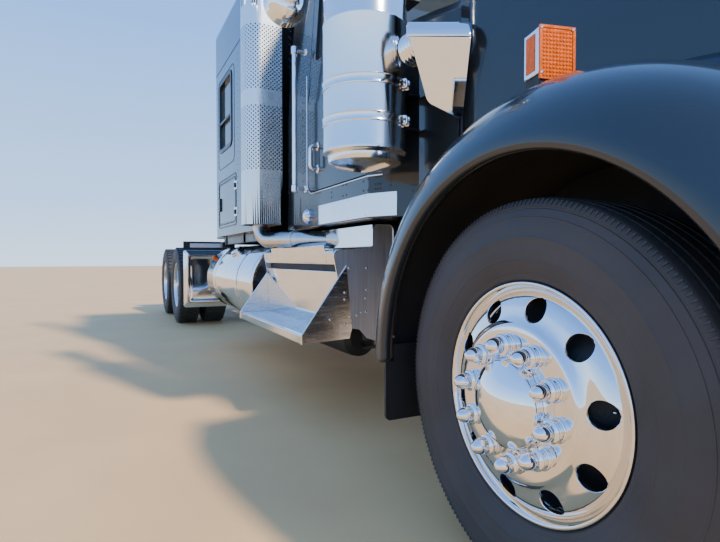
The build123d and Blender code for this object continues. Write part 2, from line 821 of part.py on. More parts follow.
# Knuckles: yoke about the kingpin, spindle and brake plate
def knuckle():
    x = front_axle_x
    yoke = rod_z(x, kingpin_y, 50, 382, 430) + rod_z(x, kingpin_y, 50, 585, 630)
    yoke += block(x - 50, x + 50, kingpin_y + 58, kingpin_y + 95, 382, 630)
    yoke += block(x - 50, x + 50, kingpin_y, kingpin_y + 95, 382, 430)
    yoke += block(x - 50, x + 50, kingpin_y, kingpin_y + 95, 585, 630)
    yoke += rod_y(x, axle_height, 38, kingpin_y + 90, 1150)
    yoke += rod_y(x, axle_height, 170, kingpin_y + 84, kingpin_y + 95)
    return yoke


save("knuckle_left", knuckle())
save("knuckle_right", other_side(knuckle()))


# Tyres: one turned section, used for the steered wheels and, in pairs, for the drive wheels
def tyre(x, centre):
    half = tyre_width / 2
    r = tyre_outer_radius
    section = [(bead_radius + 0.6, centre - 101), (299.6, centre - 107), (300, centre - 118), (360, centre - half + 4),
               (410, centre - half), (470, centre - half + 12), (r - 8, centre - 118), (r, centre - 100),
               (r, centre + 100), (r - 8, centre + 118), (470, centre + half - 12), (410, centre + half),
               (360, centre + half - 4), (300, centre + 118), (299.6, centre + 107),
               (bead_radius + 0.6, centre + 101)]
    return turned_y(x, axle_height, section)


# Rims: turned barrels with a disc, hand holes, hub and tall nut covers
hand_hole_circle = 236
nut_circle = 142.9
count = 10
spacing = 360 / count


def barrel(centre):
    half = rim_width / 2
    r = bead_radius
    return [(r - 12, centre - half + 8), (rim_flange_radius, centre - half), (rim_flange_radius, centre - half + 10),
            (r, centre - half + 16), (r, centre - 70), (r - 20, centre - 50), (r - 20, centre + 50),
            (r, centre + 70), (r, centre + half - 16), (rim_flange_radius, centre + half - 10),
            (rim_flange_radius, centre + half), (r - 12, centre + half - 8), (r - 14, centre + 60),
            (r - 34, centre + 44), (r - 34, centre - 44), (r - 14, centre - 60)]


def nut_cover(x, y, angle, out):
    a = radians(angle)
    cx = x + nut_circle * cos(a)
    cz = axle_height + nut_circle * sin(a)
    return turned_y(cx, cz, [(0, y), (21, y), (21, y + 6 * out), (16, y + 14 * out), (16, y + 56 * out),
                             (9, y + 68 * out), (0, y + 70 * out)])


def steer_rim():
    x = front_axle_x
    ring = turned_y(x, axle_height, barrel(steer_tyre_centre))
    face = 1165.5
    disc = turned_y(x, axle_height, [(60, 1138), (195, 1138), (236, 1118), (258, 1096), (262, 1085), (274, 1085),
                                     (274, 1109), (256, 1131), (222, 1144.5), (192, face), (60, face)])
    ring += disc
    for index in range(count):
        a = radians(6.9 + spacing * index)
        ring -= rod_y(x + hand_hole_circle * cos(a), axle_height + hand_hole_circle * sin(a), 32, 1080, 1180)
    hub = turned_y(x, axle_height, [(38.6, 990), (60, 990), (80, 1000), (108, 1050), (108, 1195), (60, 1210),
                                    (0, 1211.5), (0, 1155), (38.6, 1155)])
    drum = turned_y(x, axle_height, [(190, 972), (205, 972), (205, 1137), (100, 1137), (100, 1120), (190, 1120)])
    ring += hub
    ring += drum
    for index in range(count):
        ring += nut_cover(x, face, 25 + spacing * index, 1)
    return ring


def drive_rims(x):
    outer = dual_outer_centre
    inner = outer - dual_spacing
    face = (outer + inner) / 2
    rings = turned_y(x, axle_height, barrel(outer))
    rings += turned_y(x, axle_height, barrel(inner))
    rings += turned_y(x, axle_height, [(100, face), (190, face), (236, face + 14), (255, outer - 20), (270, outer - 20),
                                       (270, outer), (255, outer + 4), (228, face + 40), (190, face + 22),
                                       (100, face + 22)])
    rings += turned_y(x, axle_height, [(100, face), (190, face), (236, face - 14), (255, inner + 20), (270, inner + 20),
                                       (270, inner), (255, inner - 4), (228, face - 40), (190, face - 22),
                                       (100, face - 22)])
    for index in range(count):
        a = radians(6.9 + spacing * index)
        rings -= rod_y(x + 222 * cos(a), axle_height + 222 * sin(a), 28, face - 80, face + 80)
    rings += turned_y(x, axle_height, [(48.6, 720), (110, 720), (110, face + 60), (85, face + 150), (60, face + 165),
                                       (0, face + 168), (0, 910), (48.6, 910)])
    for index in range(count):
        rings += nut_cover(x, face + 22, 25 + spacing * index, 1)
    return rings


front_rim = steer_rim()
front_tyre = tyre(front_axle_x, steer_tyre_centre)
for side, turn in (("left", lambda s: s), ("right", other_side)):
    save(f"tyre_front_{side}", turn(front_tyre))
    save(f"rim_front_{side}", turn(front_rim))
for number, x in ((1, first_drive_x), (2, second_drive_x)):
    rims = drive_rims(x)
    pair = [tyre(x, dual_outer_centre), tyre(x, dual_outer_centre - dual_spacing)]
    for side, turn in (("left", lambda s: s), ("right", other_side)):
        save(f"rims_drive_{number}_{side}", turn(rims))
        save(f"tyres_drive_{number}_{side}", *[turn(item) for item in pair])
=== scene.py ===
import json
from math import atan2, cos, hypot, pi, radians, sin, tan

import bmesh
import bpy
from mathutils import Matrix, Vector


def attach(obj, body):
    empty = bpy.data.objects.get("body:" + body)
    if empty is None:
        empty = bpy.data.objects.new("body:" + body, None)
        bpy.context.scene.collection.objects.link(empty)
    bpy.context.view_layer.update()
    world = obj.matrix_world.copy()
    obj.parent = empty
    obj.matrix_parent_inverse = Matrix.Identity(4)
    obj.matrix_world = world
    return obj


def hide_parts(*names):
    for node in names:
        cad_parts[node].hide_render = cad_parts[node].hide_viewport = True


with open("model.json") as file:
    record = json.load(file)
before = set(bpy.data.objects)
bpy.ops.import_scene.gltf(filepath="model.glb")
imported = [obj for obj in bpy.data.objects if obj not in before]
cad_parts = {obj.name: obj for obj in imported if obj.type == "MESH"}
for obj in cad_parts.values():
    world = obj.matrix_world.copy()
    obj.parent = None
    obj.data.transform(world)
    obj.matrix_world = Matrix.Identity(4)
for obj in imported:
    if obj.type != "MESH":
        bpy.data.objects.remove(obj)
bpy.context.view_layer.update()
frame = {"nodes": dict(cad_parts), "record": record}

# Camera
# A phone held low, just ahead of the right front wheel, looking back along the truck.
# Its place and angle are solved from the wheel's ellipse and the straight lines of the cab in the photo.
joint_at = {joint["name"]: Vector(joint["pos_m"]) for joint in frame["record"]["behaviour"]["joints"]}
wheel_centre = joint_at["front_right_spin"]
front_axle_x = wheel_centre.x
axle_z = wheel_centre.z
camera_ahead_of_axle = 0.957
camera_y = -2.066
camera_z = 0.864
camera_yaw = 26.55
camera_pitch = 1.39
focal_pixels = 511.8
image_width = 720
sensor_width = 36
camera = bpy.data.objects.new("camera", bpy.data.cameras.new("camera"))
camera.location = (front_axle_x + camera_ahead_of_axle, camera_y, camera_z)
level = cos(radians(camera_pitch))
looking = Vector((-cos(radians(camera_yaw)) * level, sin(radians(camera_yaw)) * level,
                  -sin(radians(camera_pitch))))
camera.rotation_euler = looking.to_track_quat("-Z", "Y").to_euler()
camera.data.sensor_width = sensor_width
camera.data.lens = focal_pixels / image_width * sensor_width
camera.data.clip_end = 500
bpy.context.collection.objects.link(camera)
bpy.context.scene.camera = camera


# Floor and light
# A pale plain floor under a soft dome that deepens from the horizon up, and one soft key light
# from high ahead on the left, which throws the truck's shadow back and to its right.
def finish_of(name, colour, metallic=0.0, roughness=0.5, spread=0.06, mottle=0.12, scale=6.0, bump=0.0,
              bump_scale=60.0, coat=0.0, stretch=(1, 1, 1), specular=0.5):
    """Procedural finish: mottled colour, uneven roughness and a fine surface bump."""
    material = bpy.data.materials.new(name)
    material.use_nodes = True
    nodes = material.node_tree.nodes
    links = material.node_tree.links
    shader = nodes["Principled BSDF"]
    shader.inputs["Metallic"].default_value = metallic
    shader.inputs["Coat Weight"].default_value = coat
    shader.inputs["Coat Roughness"].default_value = 0.04
    shader.inputs["Specular IOR Level"].default_value = specular
    where = nodes.new("ShaderNodeTexCoord")
    mapping = nodes.new("ShaderNodeMapping")
    mapping.inputs["Scale"].default_value = stretch
    links.new(where.outputs["Object"], mapping.inputs["Vector"])
    cloud = nodes.new("ShaderNodeTexNoise")
    cloud.inputs["Scale"].default_value = scale
    cloud.inputs["Detail"].default_value = 6
    links.new(mapping.outputs["Vector"], cloud.inputs["Vector"])
    ramp = nodes.new("ShaderNodeValToRGB")
    dark = [c * (1 - mottle) for c in colour]
    light = [min(1, c * (1 + mottle)) for c in colour]
    ramp.color_ramp.elements[0].position = 0.35
    ramp.color_ramp.elements[0].color = (*dark, 1)
    ramp.color_ramp.elements[1].position = 0.65
    ramp.color_ramp.elements[1].color = (*light, 1)
    links.new(cloud.outputs["Fac"], ramp.inputs["Fac"])
    links.new(ramp.outputs["Color"], shader.inputs["Base Color"])
    rough = nodes.new("ShaderNodeMapRange")
    rough.inputs["From Min"].default_value = 0.3
    rough.inputs["From Max"].default_value = 0.7
    rough.inputs["To Min"].default_value = max(0.0, roughness - spread)
    rough.inputs["To Max"].default_value = roughness + spread
    links.new(cloud.outputs["Fac"], rough.inputs["Value"])
    links.new(rough.outputs["Result"], shader.inputs["Roughness"])
    if bump:
        grain = nodes.new("ShaderNodeTexNoise")
        grain.inputs["Scale"].default_value = bump_scale
        grain.inputs["Detail"].default_value = 4
        links.new(mapping.outputs["Vector"], grain.inputs["Vector"])
        relief = nodes.new("ShaderNodeBump")
        relief.inputs["Strength"].default_value = bump
        relief.inputs["Distance"].default_value = 0.002
        links.new(grain.outputs["Fac"], relief.inputs["Height"])
        links.new(relief.outputs["Normal"], shader.inputs["Normal"])
    return material


pale_floor = finish_of("pale_floor", (0.97, 0.54, 0.215), roughness=0.75, mottle=0.05, scale=1.5, bump=0.15,
                       bump_scale=90)
floor_half = 60
floor_mesh = bpy.data.meshes.new("floor")
floor_mesh.from_pydata([(-floor_half, -floor_half, 0), (floor_half, -floor_half, 0),
                        (floor_half, floor_half, 0), (-floor_half, floor_half, 0)], [], [(0, 1, 2, 3)])
floor_mesh.materials.append(pale_floor)
floor = bpy.data.objects.new("floor", floor_mesh)
bpy.context.collection.objects.link(floor)

dome = bpy.data.worlds.new("dome")
bpy.context.scene.world = dome
dome.use_nodes = True
dome_nodes = dome.node_tree.nodes
dome_links = dome.node_tree.links
dome_where = dome_nodes.new("ShaderNodeTexCoord")
dome_split = dome_nodes.new("ShaderNodeSeparateXYZ")
dome_ramp = dome_nodes.new("ShaderNodeValToRGB")
dome_links.new(dome_where.outputs["Generated"], dome_split.inputs["Vector"])
dome_links.new(dome_split.outputs["Z"], dome_ramp.inputs["Fac"])
# height of the direction looked at, colour
dome_steps = [(0.0, (0.60, 0.77, 1.0)), (0.10, (0.41, 0.64, 1.0)), (0.40, (0.19, 0.42, 0.94)),
              (1.0, (0.11, 0.26, 0.68))]
while len(dome_ramp.color_ramp.elements) < len(dome_steps):
    dome_ramp.color_ramp.elements.new(0.5)
for element, (position, colour) in zip(dome_ramp.color_ramp.elements, dome_steps):
    element.position = position
    element.color = (*colour, 1)
dome_links.new(dome_ramp.outputs["Color"], dome_nodes["Background"].inputs["Color"])
dome_nodes["Background"].inputs["Strength"].default_value = 1.95

key_travels = Vector((-1.14, -0.44, -1.0))
key = bpy.data.objects.new("key_light", bpy.data.lights.new("key_light", "SUN"))
key.data.energy = 4.3
key.data.angle = radians(4)
key.data.color = (1.0, 0.95, 0.87)
key.rotation_euler = key_travels.to_track_quat("-Z", "Y").to_euler()
bpy.context.collection.objects.link(key)


# Frame rails
# Two pressed steel channels, painted black, that carry everything else.
# Crossmembers are bolted between them, with rows of three bolts through each web.
def behind(distance):
    """X of a station that lies this far behind the front axle."""
    return front_axle_x - distance


def dress(node, material):
    """Gives a carried-over part its finish."""
    mesh = frame["nodes"][node].data
    mesh.materials.clear()
    mesh.materials.append(material)


def turned(profile, centre, axis="Y", segments=96, side=1):
    """Surface of revolution from (radius, along) points, about a line through centre."""
    verts = []
    faces = []
    count = len(profile)
    for step in range(segments):
        angle = 2 * pi * step / segments
        for radius, along in profile:
            across = radius * cos(angle)
            up = radius * sin(angle)
            if axis == "Y":
                verts.append((centre[0] + across, centre[1] + side * along, centre[2] + up))
            elif axis == "Z":
                verts.append((centre[0] + across, centre[1] + up, centre[2] + along))
            else:
                verts.append((centre[0] + along, centre[1] + across, centre[2] + up))
    for step in range(segments):
        here = step * count
        there = (step + 1) % segments * count
        for index in range(count - 1):
            faces.append((here + index, here + index + 1, there + index + 1, there + index))
    return verts, faces


def joined(name, shapes, smooth):
    """One mesh of (points, faces) shapes: welded, facing outwards, and smooth between its sharp edges."""
    verts = []
    faces = []
    for shape_verts, shape_faces in shapes:
        base = len(verts)
        verts += shape_verts
        faces += [tuple(index + base for index in face) for face in shape_faces]
    mesh = bpy.data.meshes.new(name)
    mesh.from_pydata(verts, [], faces)
    work = bmesh.new()
    work.from_mesh(mesh)
    bmesh.ops.remove_doubles(work, verts=work.verts, dist=0.00002)
    bmesh.ops.recalc_face_normals(work, faces=work.faces)
    work.to_mesh(mesh)
    work.free()
    mesh.polygons.foreach_set("use_smooth", [True] * len(mesh.polygons))
    mesh.set_sharp_from_angle(angle=radians(smooth))
    return mesh


def repeat_tree():
    """Geometry Nodes: puts one part on every point, turned and sized by the points' own attributes."""
    tree = bpy.data.node_groups.new("set_out_parts", "GeometryNodeTree")
    tree.interface.new_socket("Points", in_out="INPUT", socket_type="NodeSocketGeometry")
    tree.interface.new_socket("Part", in_out="INPUT", socket_type="NodeSocketObject")
    size = tree.interface.new_socket("Part Size", in_out="INPUT", socket_type="NodeSocketFloat")
    size.default_value = 1.0
    tree.interface.new_socket("Finish", in_out="INPUT", socket_type="NodeSocketMaterial")
    tree.interface.new_socket("Parts", in_out="OUTPUT", socket_type="NodeSocketGeometry")
    nodes = tree.nodes
    links = tree.links
    start = nodes.new("NodeGroupInput")
    end = nodes.new("NodeGroupOutput")
    part = nodes.new("GeometryNodeObjectInfo")
    turn = nodes.new("GeometryNodeInputNamedAttribute")
    turn.data_type = "FLOAT_VECTOR"
    turn.inputs["Name"].default_value = "turn"
    rotation = nodes.new("FunctionNodeEulerToRotation")
    place = nodes.new("GeometryNodeInstanceOnPoints")
    real = nodes.new("GeometryNodeRealizeInstances")
    paint = nodes.new("GeometryNodeSetMaterial")
    links.new(start.outputs["Points"], place.inputs["Points"])
    links.new(start.outputs["Part"], part.inputs["Object"])
    links.new(part.outputs["Geometry"], place.inputs["Instance"])
    links.new(turn.outputs["Attribute"], rotation.inputs["Euler"])
    links.new(rotation.outputs["Rotation"], place.inputs["Rotation"])
    links.new(start.outputs["Part Size"], place.inputs["Scale"])
    links.new(place.outputs["Instances"], real.inputs["Geometry"])
    links.new(real.outputs["Geometry"], paint.inputs["Geometry"])
    links.new(start.outputs["Finish"], paint.inputs["Material"])
    links.new(paint.outputs["Geometry"], end.inputs["Parts"])
    return tree


set_out = repeat_tree()


def repeated(name, part_shape, places, material, body, size=1.0, smooth=32):
    """Sets one small part out at each (point, turn) by Geometry Nodes, as one plain mesh."""
    part = bpy.data.objects.new(name + "_part", joined(name + "_part", [part_shape], smooth))
    points = bpy.data.meshes.new(name + "_points")
    points.from_pydata([tuple(point) for point, turn in places], [], [])
    turns = points.attributes.new("turn", "FLOAT_VECTOR", "POINT")
    turns.data.foreach_set("vector", [value for point, turn in places for value in turn])
    carrier = bpy.data.objects.new(name + "_carrier", points)
    bpy.context.collection.objects.link(part)
    bpy.context.collection.objects.link(carrier)
    modifier = carrier.modifiers.new("set_out", "NODES")
    modifier.node_group = set_out
    values = {"Part": part, "Part Size": size, "Finish": material}
    for socket in set_out.interface.items_tree:
        if socket.name in values and socket.in_out == "INPUT":
            modifier[socket.identifier] = values[socket.name]
    seen = carrier.evaluated_get(bpy.context.evaluated_depsgraph_get())
    mesh = bpy.data.meshes.new_from_object(seen)
    mesh.materials.clear()
    mesh.materials.append(material)
    bpy.data.objects.remove(carrier)
    bpy.data.objects.remove(part)
    thing = bpy.data.objects.new(name, mesh)
    bpy.context.collection.objects.link(thing)
    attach(thing, body)
    return thing


outward = {"right": (pi / 2, 0, 0), "left": (-pi / 2, 0, 0), "front": (0, pi / 2, 0), "rear": (0, -pi / 2, 0),
           "up": (0, 0, 0)}
side_names = (("left", 1), ("right", -1))
hex_head = turned([(0.0, 0.0), (0.011, 0.0), (0.011, 0.008), (0.0, 0.009)], (0, 0, 0), "Z", 6)

chassis_black = finish_of("chassis_black", (0.014, 0.014, 0.015), roughness=0.45, scale=9, bump=0.3)
dress("frame_rails", chassis_black)
rail_y = 0.432
crossmember_stations = (2.25, 3.3, 4.5, 5.65, 6.36, 7.02, 7.68, 8.205)
rail_bolts = []
for station in crossmember_stations:
    for side_name, side in reversed(side_names):
        for offset in (-0.03, 0.03):
            for z in (0.80, 0.87, 0.94):
                rail_bolts.append(((behind(station) + offset, side * rail_y, z), outward[side_name]))
repeated("rail_bolts", hex_head, rail_bolts, chassis_black, "frame", smooth=20)

# Axles, springs and drive line
# Forged and cast running gear, painted black and hung under the rails.
# The engine is a plain grey block on the frame, behind a finned black radiator core.
running_gear = finish_of("running_gear_black", (0.018, 0.018, 0.019), roughness=0.55, scale=14, bump=0.5,
                         bump_scale=140)
cast_grey = finish_of("cast_grey", (0.16, 0.16, 0.165), metallic=0.3, roughness=0.55, bump=0.5,
                      bump_scale=120)
core_black = finish_of("core_black", (0.02, 0.02, 0.021), metallic=0.4, roughness=0.5, stretch=(1, 90, 6),
                       bump=0.8, bump_scale=8)
for node in ("front_axle", "drive_axles", "rear_suspension", "knuckle_left", "knuckle_right"):
    dress(node, running_gear)
dress("engine", cast_grey)
dress("radiator", core_black)

# Tyres
# Radial truck tyres of black rubber, moulded with a ribbed and siped tread on the steered pair and with
# rows of blocks on the drive tyres. Their sidewalls are bare, and each bead sits on its rim's flange.
tyre_radius = axle_z - 0.0006
steer_tyre_y = abs(wheel_centre.y)
bead_radius = 0.2872
groove_depth = 0.013
groove_width = 0.011
steer_grooves = (0.0, 0.042, 0.080)
sipe_rows = (0.0885, 0.0715, 0.0505, 0.0335, 0.0085, -0.0085, -0.0335, -0.0505, -0.0715, -0.0885)
sipe_count = 150
shoulder_rib_count = 220
shoulder_radius, shoulder_reach, shoulder_slope = 0.4955, 0.1195, 1.15
tyre_rubber = finish_of("tyre_rubber", (0.050, 0.046, 0.043), roughness=0.62, spread=0.10, mottle=0.20,
                        scale=5, bump=0.25, bump_scale=220, specular=0.40)


def loft(rings, capped=True):
    """Skin over closed rings of equally many points, with both ends filled unless capped is off."""
    count = len(rings[0])
    verts = [point for ring in rings for point in ring]
    faces = []
    for base in range(0, len(verts) - count, count):
        for index in range(count):
            after = (index + 1) % count
            faces.append((base + index, base + after, base + after + count, base + index + count))
    if capped:
        faces.append(tuple(range(count - 1, -1, -1)))
        faces.append(tuple(range(len(verts) - count, len(verts))))
    return verts, faces


def prism(outline, low, high, axis):
    """Flat outline carried from low to high along an axis; the outline gives the other two in order."""
    def place(a, b, along):
        return {"X": (along, a, b), "Y": (a, along, b), "Z": (a, b, along)}[axis]
    return loft([[place(a, b, along) for a, b in outline] for along in (low, high)])


def slab(x_low, x_high, y_inner, y_outer, z_low, z_high):
    """Plain box; its two sides may come in either order."""
    y_low, y_high = sorted((y_inner, y_outer))
    return prism([(x_low, y_low), (x_high, y_low), (x_high, y_high), (x_low, y_high)], z_low, z_high, "Z")


def piece(name, shapes, material, body, smooth=32, bevel=0.0, replaces=()):
    """Joins shapes into one piece with a finish, and makes it ride on a body."""
    mesh = joined(name, shapes, smooth)
    mesh.materials.append(material)
    thing = bpy.data.objects.new(name, mesh)
    bpy.context.collection.objects.link(thing)
    if bevel:
        edge = thing.modifiers.new("edge", "BEVEL")
        edge.width = bevel
        edge.segments = 2
        edge.limit_method = "ANGLE"
        edge.angle_limit = radians(40)
    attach(thing, body)
    if replaces:
        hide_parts(*replaces)
    return thing


def crown_at(along):
    """Radius of the tread's face at a distance from the tyre's middle; it falls off towards the shoulders."""
    return tyre_radius - 0.10 * along * along


def tyre_profile(grooves):
    """Section from bead to bead: (radius, distance from the tyre's middle)."""
    wall = [(bead_radius, 0.102), (0.2935, 0.1035), (0.2995, 0.1075), (0.302, 0.1135), (0.306, 0.1185),
            (0.3105, 0.1195), (0.3135, 0.1210), (0.3165, 0.1212), (0.320, 0.1232), (0.335, 0.1290),
            (0.350, 0.1335), (0.3535, 0.1342), (0.3545, 0.1352), (0.3575, 0.1355), (0.3590, 0.1350),
            (0.372, 0.1375), (0.390, 0.1388), (0.405, 0.1390), (0.4065, 0.1396), (0.4095, 0.1396),
            (0.411, 0.1388), (0.425, 0.1376), (0.440, 0.1350), (0.4545, 0.1318), (0.4560, 0.1325),
            (0.4590, 0.1322), (0.4600, 0.1306), (0.470, 0.1278), (0.4785, 0.1250), (0.4800, 0.1225),
            (0.4830, 0.1222), (0.4850, 0.1240), (0.492, 0.1215), (0.4985, 0.1180), (0.5030, 0.1130)]
    tread = [(tyre_radius - 0.0025, 0.1085)]
    for centre in sorted((g for g in grooves if g > 0), reverse=True):
        top = crown_at(centre)
        tread += [(top, centre + groove_width / 2), (top - groove_depth, centre + groove_width / 4),
                  (top - groove_depth, centre - groove_width / 4), (top, centre - groove_width / 2)]
    half = wall + tread
    other = [(radius, -along) for radius, along in reversed(half)]
    middle = []
    if 0 in grooves:
        middle = [(tyre_radius, groove_width / 2), (tyre_radius - groove_depth, groove_width / 4),
                  (tyre_radius - groove_depth, -groove_width / 4), (tyre_radius, -groove_width / 2)]
    return half + middle + other + [half[0]]


def on_wheel(radius, degrees, along, centre, side):
    """Point at a radius and angle on a wheel, this far outboard of the truck's middle."""
    angle = radians(degrees)
    return (centre[0] + radius * cos(angle), side * along, centre[2] + radius * sin(angle))


sipe = slab(-0.0022, 0.0022, -0.0045, 0.0045, -0.0045, 0.0006)
shoulder_rib = slab(-0.0022, 0.0022, -0.007, 0.007, -0.004, 0.0022)
for side_name, side in side_names:
    centre = joint_at[f"front_{side_name}_spin"]
    body = f"front_wheel_{side_name}"
    slot = f"tyre_front_{side_name}"
    shape = turned(tyre_profile(steer_grooves), centre, "Y", 144, side)
    piece(f"steer_tyre_{side_name}", [shape], tyre_rubber, body, smooth=24, replaces=(slot,))
    places = []
    for index in range(sipe_count):
        degrees = index * 360 / sipe_count
        for along in sipe_rows:
            point = on_wheel(crown_at(along) - 0.0004, degrees, steer_tyre_y + along, centre, side)
            places.append((point, (0, pi / 2 - radians(degrees), 0)))
    repeated(f"steer_sipes_{side_name}", sipe, places, tyre_rubber, body)
    places = []
    for index in range(shoulder_rib_count):
        degrees = index * 360 / shoulder_rib_count
        for out in (1, -1):
            point = on_wheel(shoulder_radius, degrees, steer_tyre_y + out * shoulder_reach, centre, side)
            places.append((point, (out * side * -shoulder_slope, pi / 2 - radians(degrees), 0)))
    repeated(f"shoulder_ribs_{side_name}", shoulder_rib, places, tyre_rubber, body)

dual_outer = 1.076
dual_gap = 0.340
drive_axles = {1: joint_at["drive_1_left_spin"].x, 2: joint_at["drive_2_left_spin"].x}
lug_rows = (-0.088, -0.031, 0.031, 0.088)
lugs_in_row = 48
lug_height = 0.011
lug = prism([(-0.017, -0.026), (0.017, -0.030), (0.020, 0.024), (-0.014, 0.030)], -0.006, 0.012, "Z")
for number, x in drive_axles.items():
    for side_name, side in side_names:
        centre = Vector((x, 0, axle_z))
        shapes = []
        places = []
        for middle in (dual_outer, dual_outer - dual_gap):
            carcass = [(radius - (lug_height if radius > shoulder_radius else 0), along)
                       for radius, along in tyre_profile(())]
            shapes.append(turned(carcass, (x, side * middle, axle_z), "Y", 96, side))
            for row, offset in enumerate(lug_rows):
                for index in range(lugs_in_row):
                    degrees = (index + 0.5 * (row % 2)) * 360 / lugs_in_row
                    point = on_wheel(crown_at(offset) - 0.0125, degrees, middle + offset, centre, side)
                    places.append((point, (0, pi / 2 - radians(degrees), 0)))
        body = f"drive_wheels_{number}_{side_name}"
        slot = f"tyres_drive_{number}_{side_name}"
        piece(f"drive_tyres_{number}_{side_name}", shapes, tyre_rubber, body, smooth=30,
              replaces=(slot,))
        repeated(f"drive_lugs_{number}_{side_name}", lug, places, tyre_rubber, body)

# Front wheels
# Forged aluminium discs, mirror polished, each with ten round hand holes and bolted to its hub by ten studs.
# Tall chromed covers are pushed over the nuts, and a chromed domed cap closes the hub.
polished_aluminium = finish_of("polished_aluminium", (0.80, 0.805, 0.815), metallic=1.0, roughness=0.045,
                               spread=0.015, mottle=0.015, scale=11, bump=0.012, bump_scale=30)
bright_chrome = finish_of("bright_chrome", (0.90, 0.905, 0.915), metallic=1.0, roughness=0.035, spread=0.012,
                          mottle=0.01, scale=15, bump=0.008, bump_scale=25)
hand_hole_circle = 0.236
hand_hole_radius = 0.0315
hand_hole_turn = 6.9
nut_circle = 0.1429
nut_turn = 25
stud_count = 10
sector = 360 / stud_count


def tube(route, radius, bend, sides=16, steps=8, capped=True):
    """Round bar along straight runs joined by arcs."""
    line = [Vector(route[0])]
    for index in range(1, len(route) - 1):
        corner = Vector(route[index])
        before = (Vector(route[index - 1]) - corner).normalized()
        after = (Vector(route[index + 1]) - corner).normalized()
        half = before.angle(after) / 2
        reach = bend / tan(half)
        centre = corner + (before + after).normalized() * bend / sin(half)
        start = corner + before * reach - centre
        end = corner + after * reach - centre
        axis = start.cross(end).normalized()
        whole = start.angle(end)
        for step in range(steps + 1):
            line.append(centre + Matrix.Rotation(whole * step / steps, 3, axis) @ start)
    line.append(Vector(route[-1]))
    angles = [2 * pi * index / sides for index in range(sides)]
    across = (line[1] - line[0]).normalized().orthogonal().normalized()
    rings = []
    for index, point in enumerate(line):
        ahead = (line[min(index + 1, len(line) - 1)] - line[max(index - 1, 0)]).normalized()
        across = (across - ahead * across.dot(ahead)).normalized()
        up = ahead.cross(across)
        rings.append([tuple(point + across * radius * cos(angle) + up * radius * sin(angle))
                      for angle in angles])
    return loft(rings, capped)


def steady_curve(points, at):
    """Smooth curve through (position, value) points that never overshoots them."""
    for (a, va), (b, vb) in zip(points, points[1:]):
        if a <= at <= b or (at < a and (a, va) == points[0]) or (at > b and (b, vb) == points[-1]):
            slopes = [(v2 - v1) / (p2 - p1) for (p1, v1), (p2, v2) in zip(points, points[1:])]
            index = points.index((a, va))

            def tangent(k):
                if k <= 0 or k >= len(slopes):
                    return slopes[min(max(k - 1, 0), len(slopes) - 1)] if k else slopes[0]
                before, after = slopes[k - 1], slopes[k]
                return 0 if before * after <= 0 else 2 * before * after / (before + after)

            t = min(max((at - a) / (b - a), 0), 1)
            h = b - a
            return ((2 * t ** 3 - 3 * t ** 2 + 1) * va + (t ** 3 - 2 * t ** 2 + t) * h * tangent(index)
                    + (3 * t ** 2 - 2 * t ** 3) * vb + (t ** 3 - t ** 2) * h * tangent(index + 1))
    return points[-1][1]


def holed_ring(face_curve, inner, outer, hole_circle, hole_radius, thickness, centre, side, first):
    """Disc band with a round hole in each sector, following face_curve from radius to outboard distance."""
    verts = []
    faces = []
    per_side = 10
    rings = 7
    half = radians(sector / 2)

    def drop(radius, angle, depth=0.0):
        along = steady_curve(face_curve, radius) - depth
        verts.append((centre[0] + radius * cos(angle), side * along, centre[2] + radius * sin(angle)))

    border = [(inner, -half + 2 * half * step / per_side) for step in range(per_side)]
    border += [(inner + (outer - inner) * step / per_side, half) for step in range(per_side)]
    border += [(outer, half - 2 * half * step / per_side) for step in range(per_side)]
    border += [(outer - (outer - inner) * step / per_side, -half) for step in range(per_side)]
    for index in range(stud_count):
        middle = radians(first + sector * index)
        cx, cz = hole_circle * cos(middle), hole_circle * sin(middle)
        base = len(verts)
        for radius, angle in border:
            bx, bz = radius * cos(middle + angle), radius * sin(middle + angle)
            reach = hypot(bx - cx, bz - cz)
            ux, uz = (bx - cx) / reach, (bz - cz) / reach
            for ring in range(rings + 1):
                t = (ring / rings) ** 1.5
                span = hole_radius + (reach - hole_radius) * t
                x, z = cx + ux * span, cz + uz * span
                drop(hypot(x, z), atan2(z, x))
            for shrink, depth in ((0.0012, 0.0015), (0.0018, 0.004), (0.0, thickness)) if thickness else ():
                x, z = cx + ux * (hole_radius - shrink), cz + uz * (hole_radius - shrink)
                drop(hypot(x, z), atan2(z, x), depth)
        column = rings + (4 if thickness else 1)
        for step in range(len(border)):
            a = base + step * column
            b = base + (step + 1) % len(border) * column
            for ring in range(rings):
                faces.append((a + ring, a + ring + 1, b + ring + 1, b + ring))
            if thickness:
                faces.append((a, b, b + rings + 1, a + rings + 1))
                for ring in range(rings + 1, rings + 3):
                    faces.append((a + ring, b + ring, b + ring + 1, a + ring + 1))
    return verts, faces


nut_cover = turned([(0.0, 0.0), (0.0282, 0.0), (0.0288, 0.0015), (0.0288, 0.0045), (0.0278, 0.0060),
                    (0.0258, 0.0068), (0.0258, 0.0190), (0.0270, 0.0202), (0.0274, 0.0222), (0.0270, 0.0242),
                    (0.0250, 0.0256), (0.0222, 0.0270), (0.0200, 0.0290), (0.0196, 0.0305), (0.0203, 0.0340),
                    (0.0208, 0.0385), (0.0205, 0.0430), (0.0194, 0.0490), (0.0173, 0.0550), (0.0142, 0.0605),
                    (0.0112, 0.0640), (0.0095, 0.0665), (0.0070, 0.0686), (0.0035, 0.0696), (0.0, 0.0699)],
                   (0, 0, 0), "Z", 28)

mounting_face = 1.1655
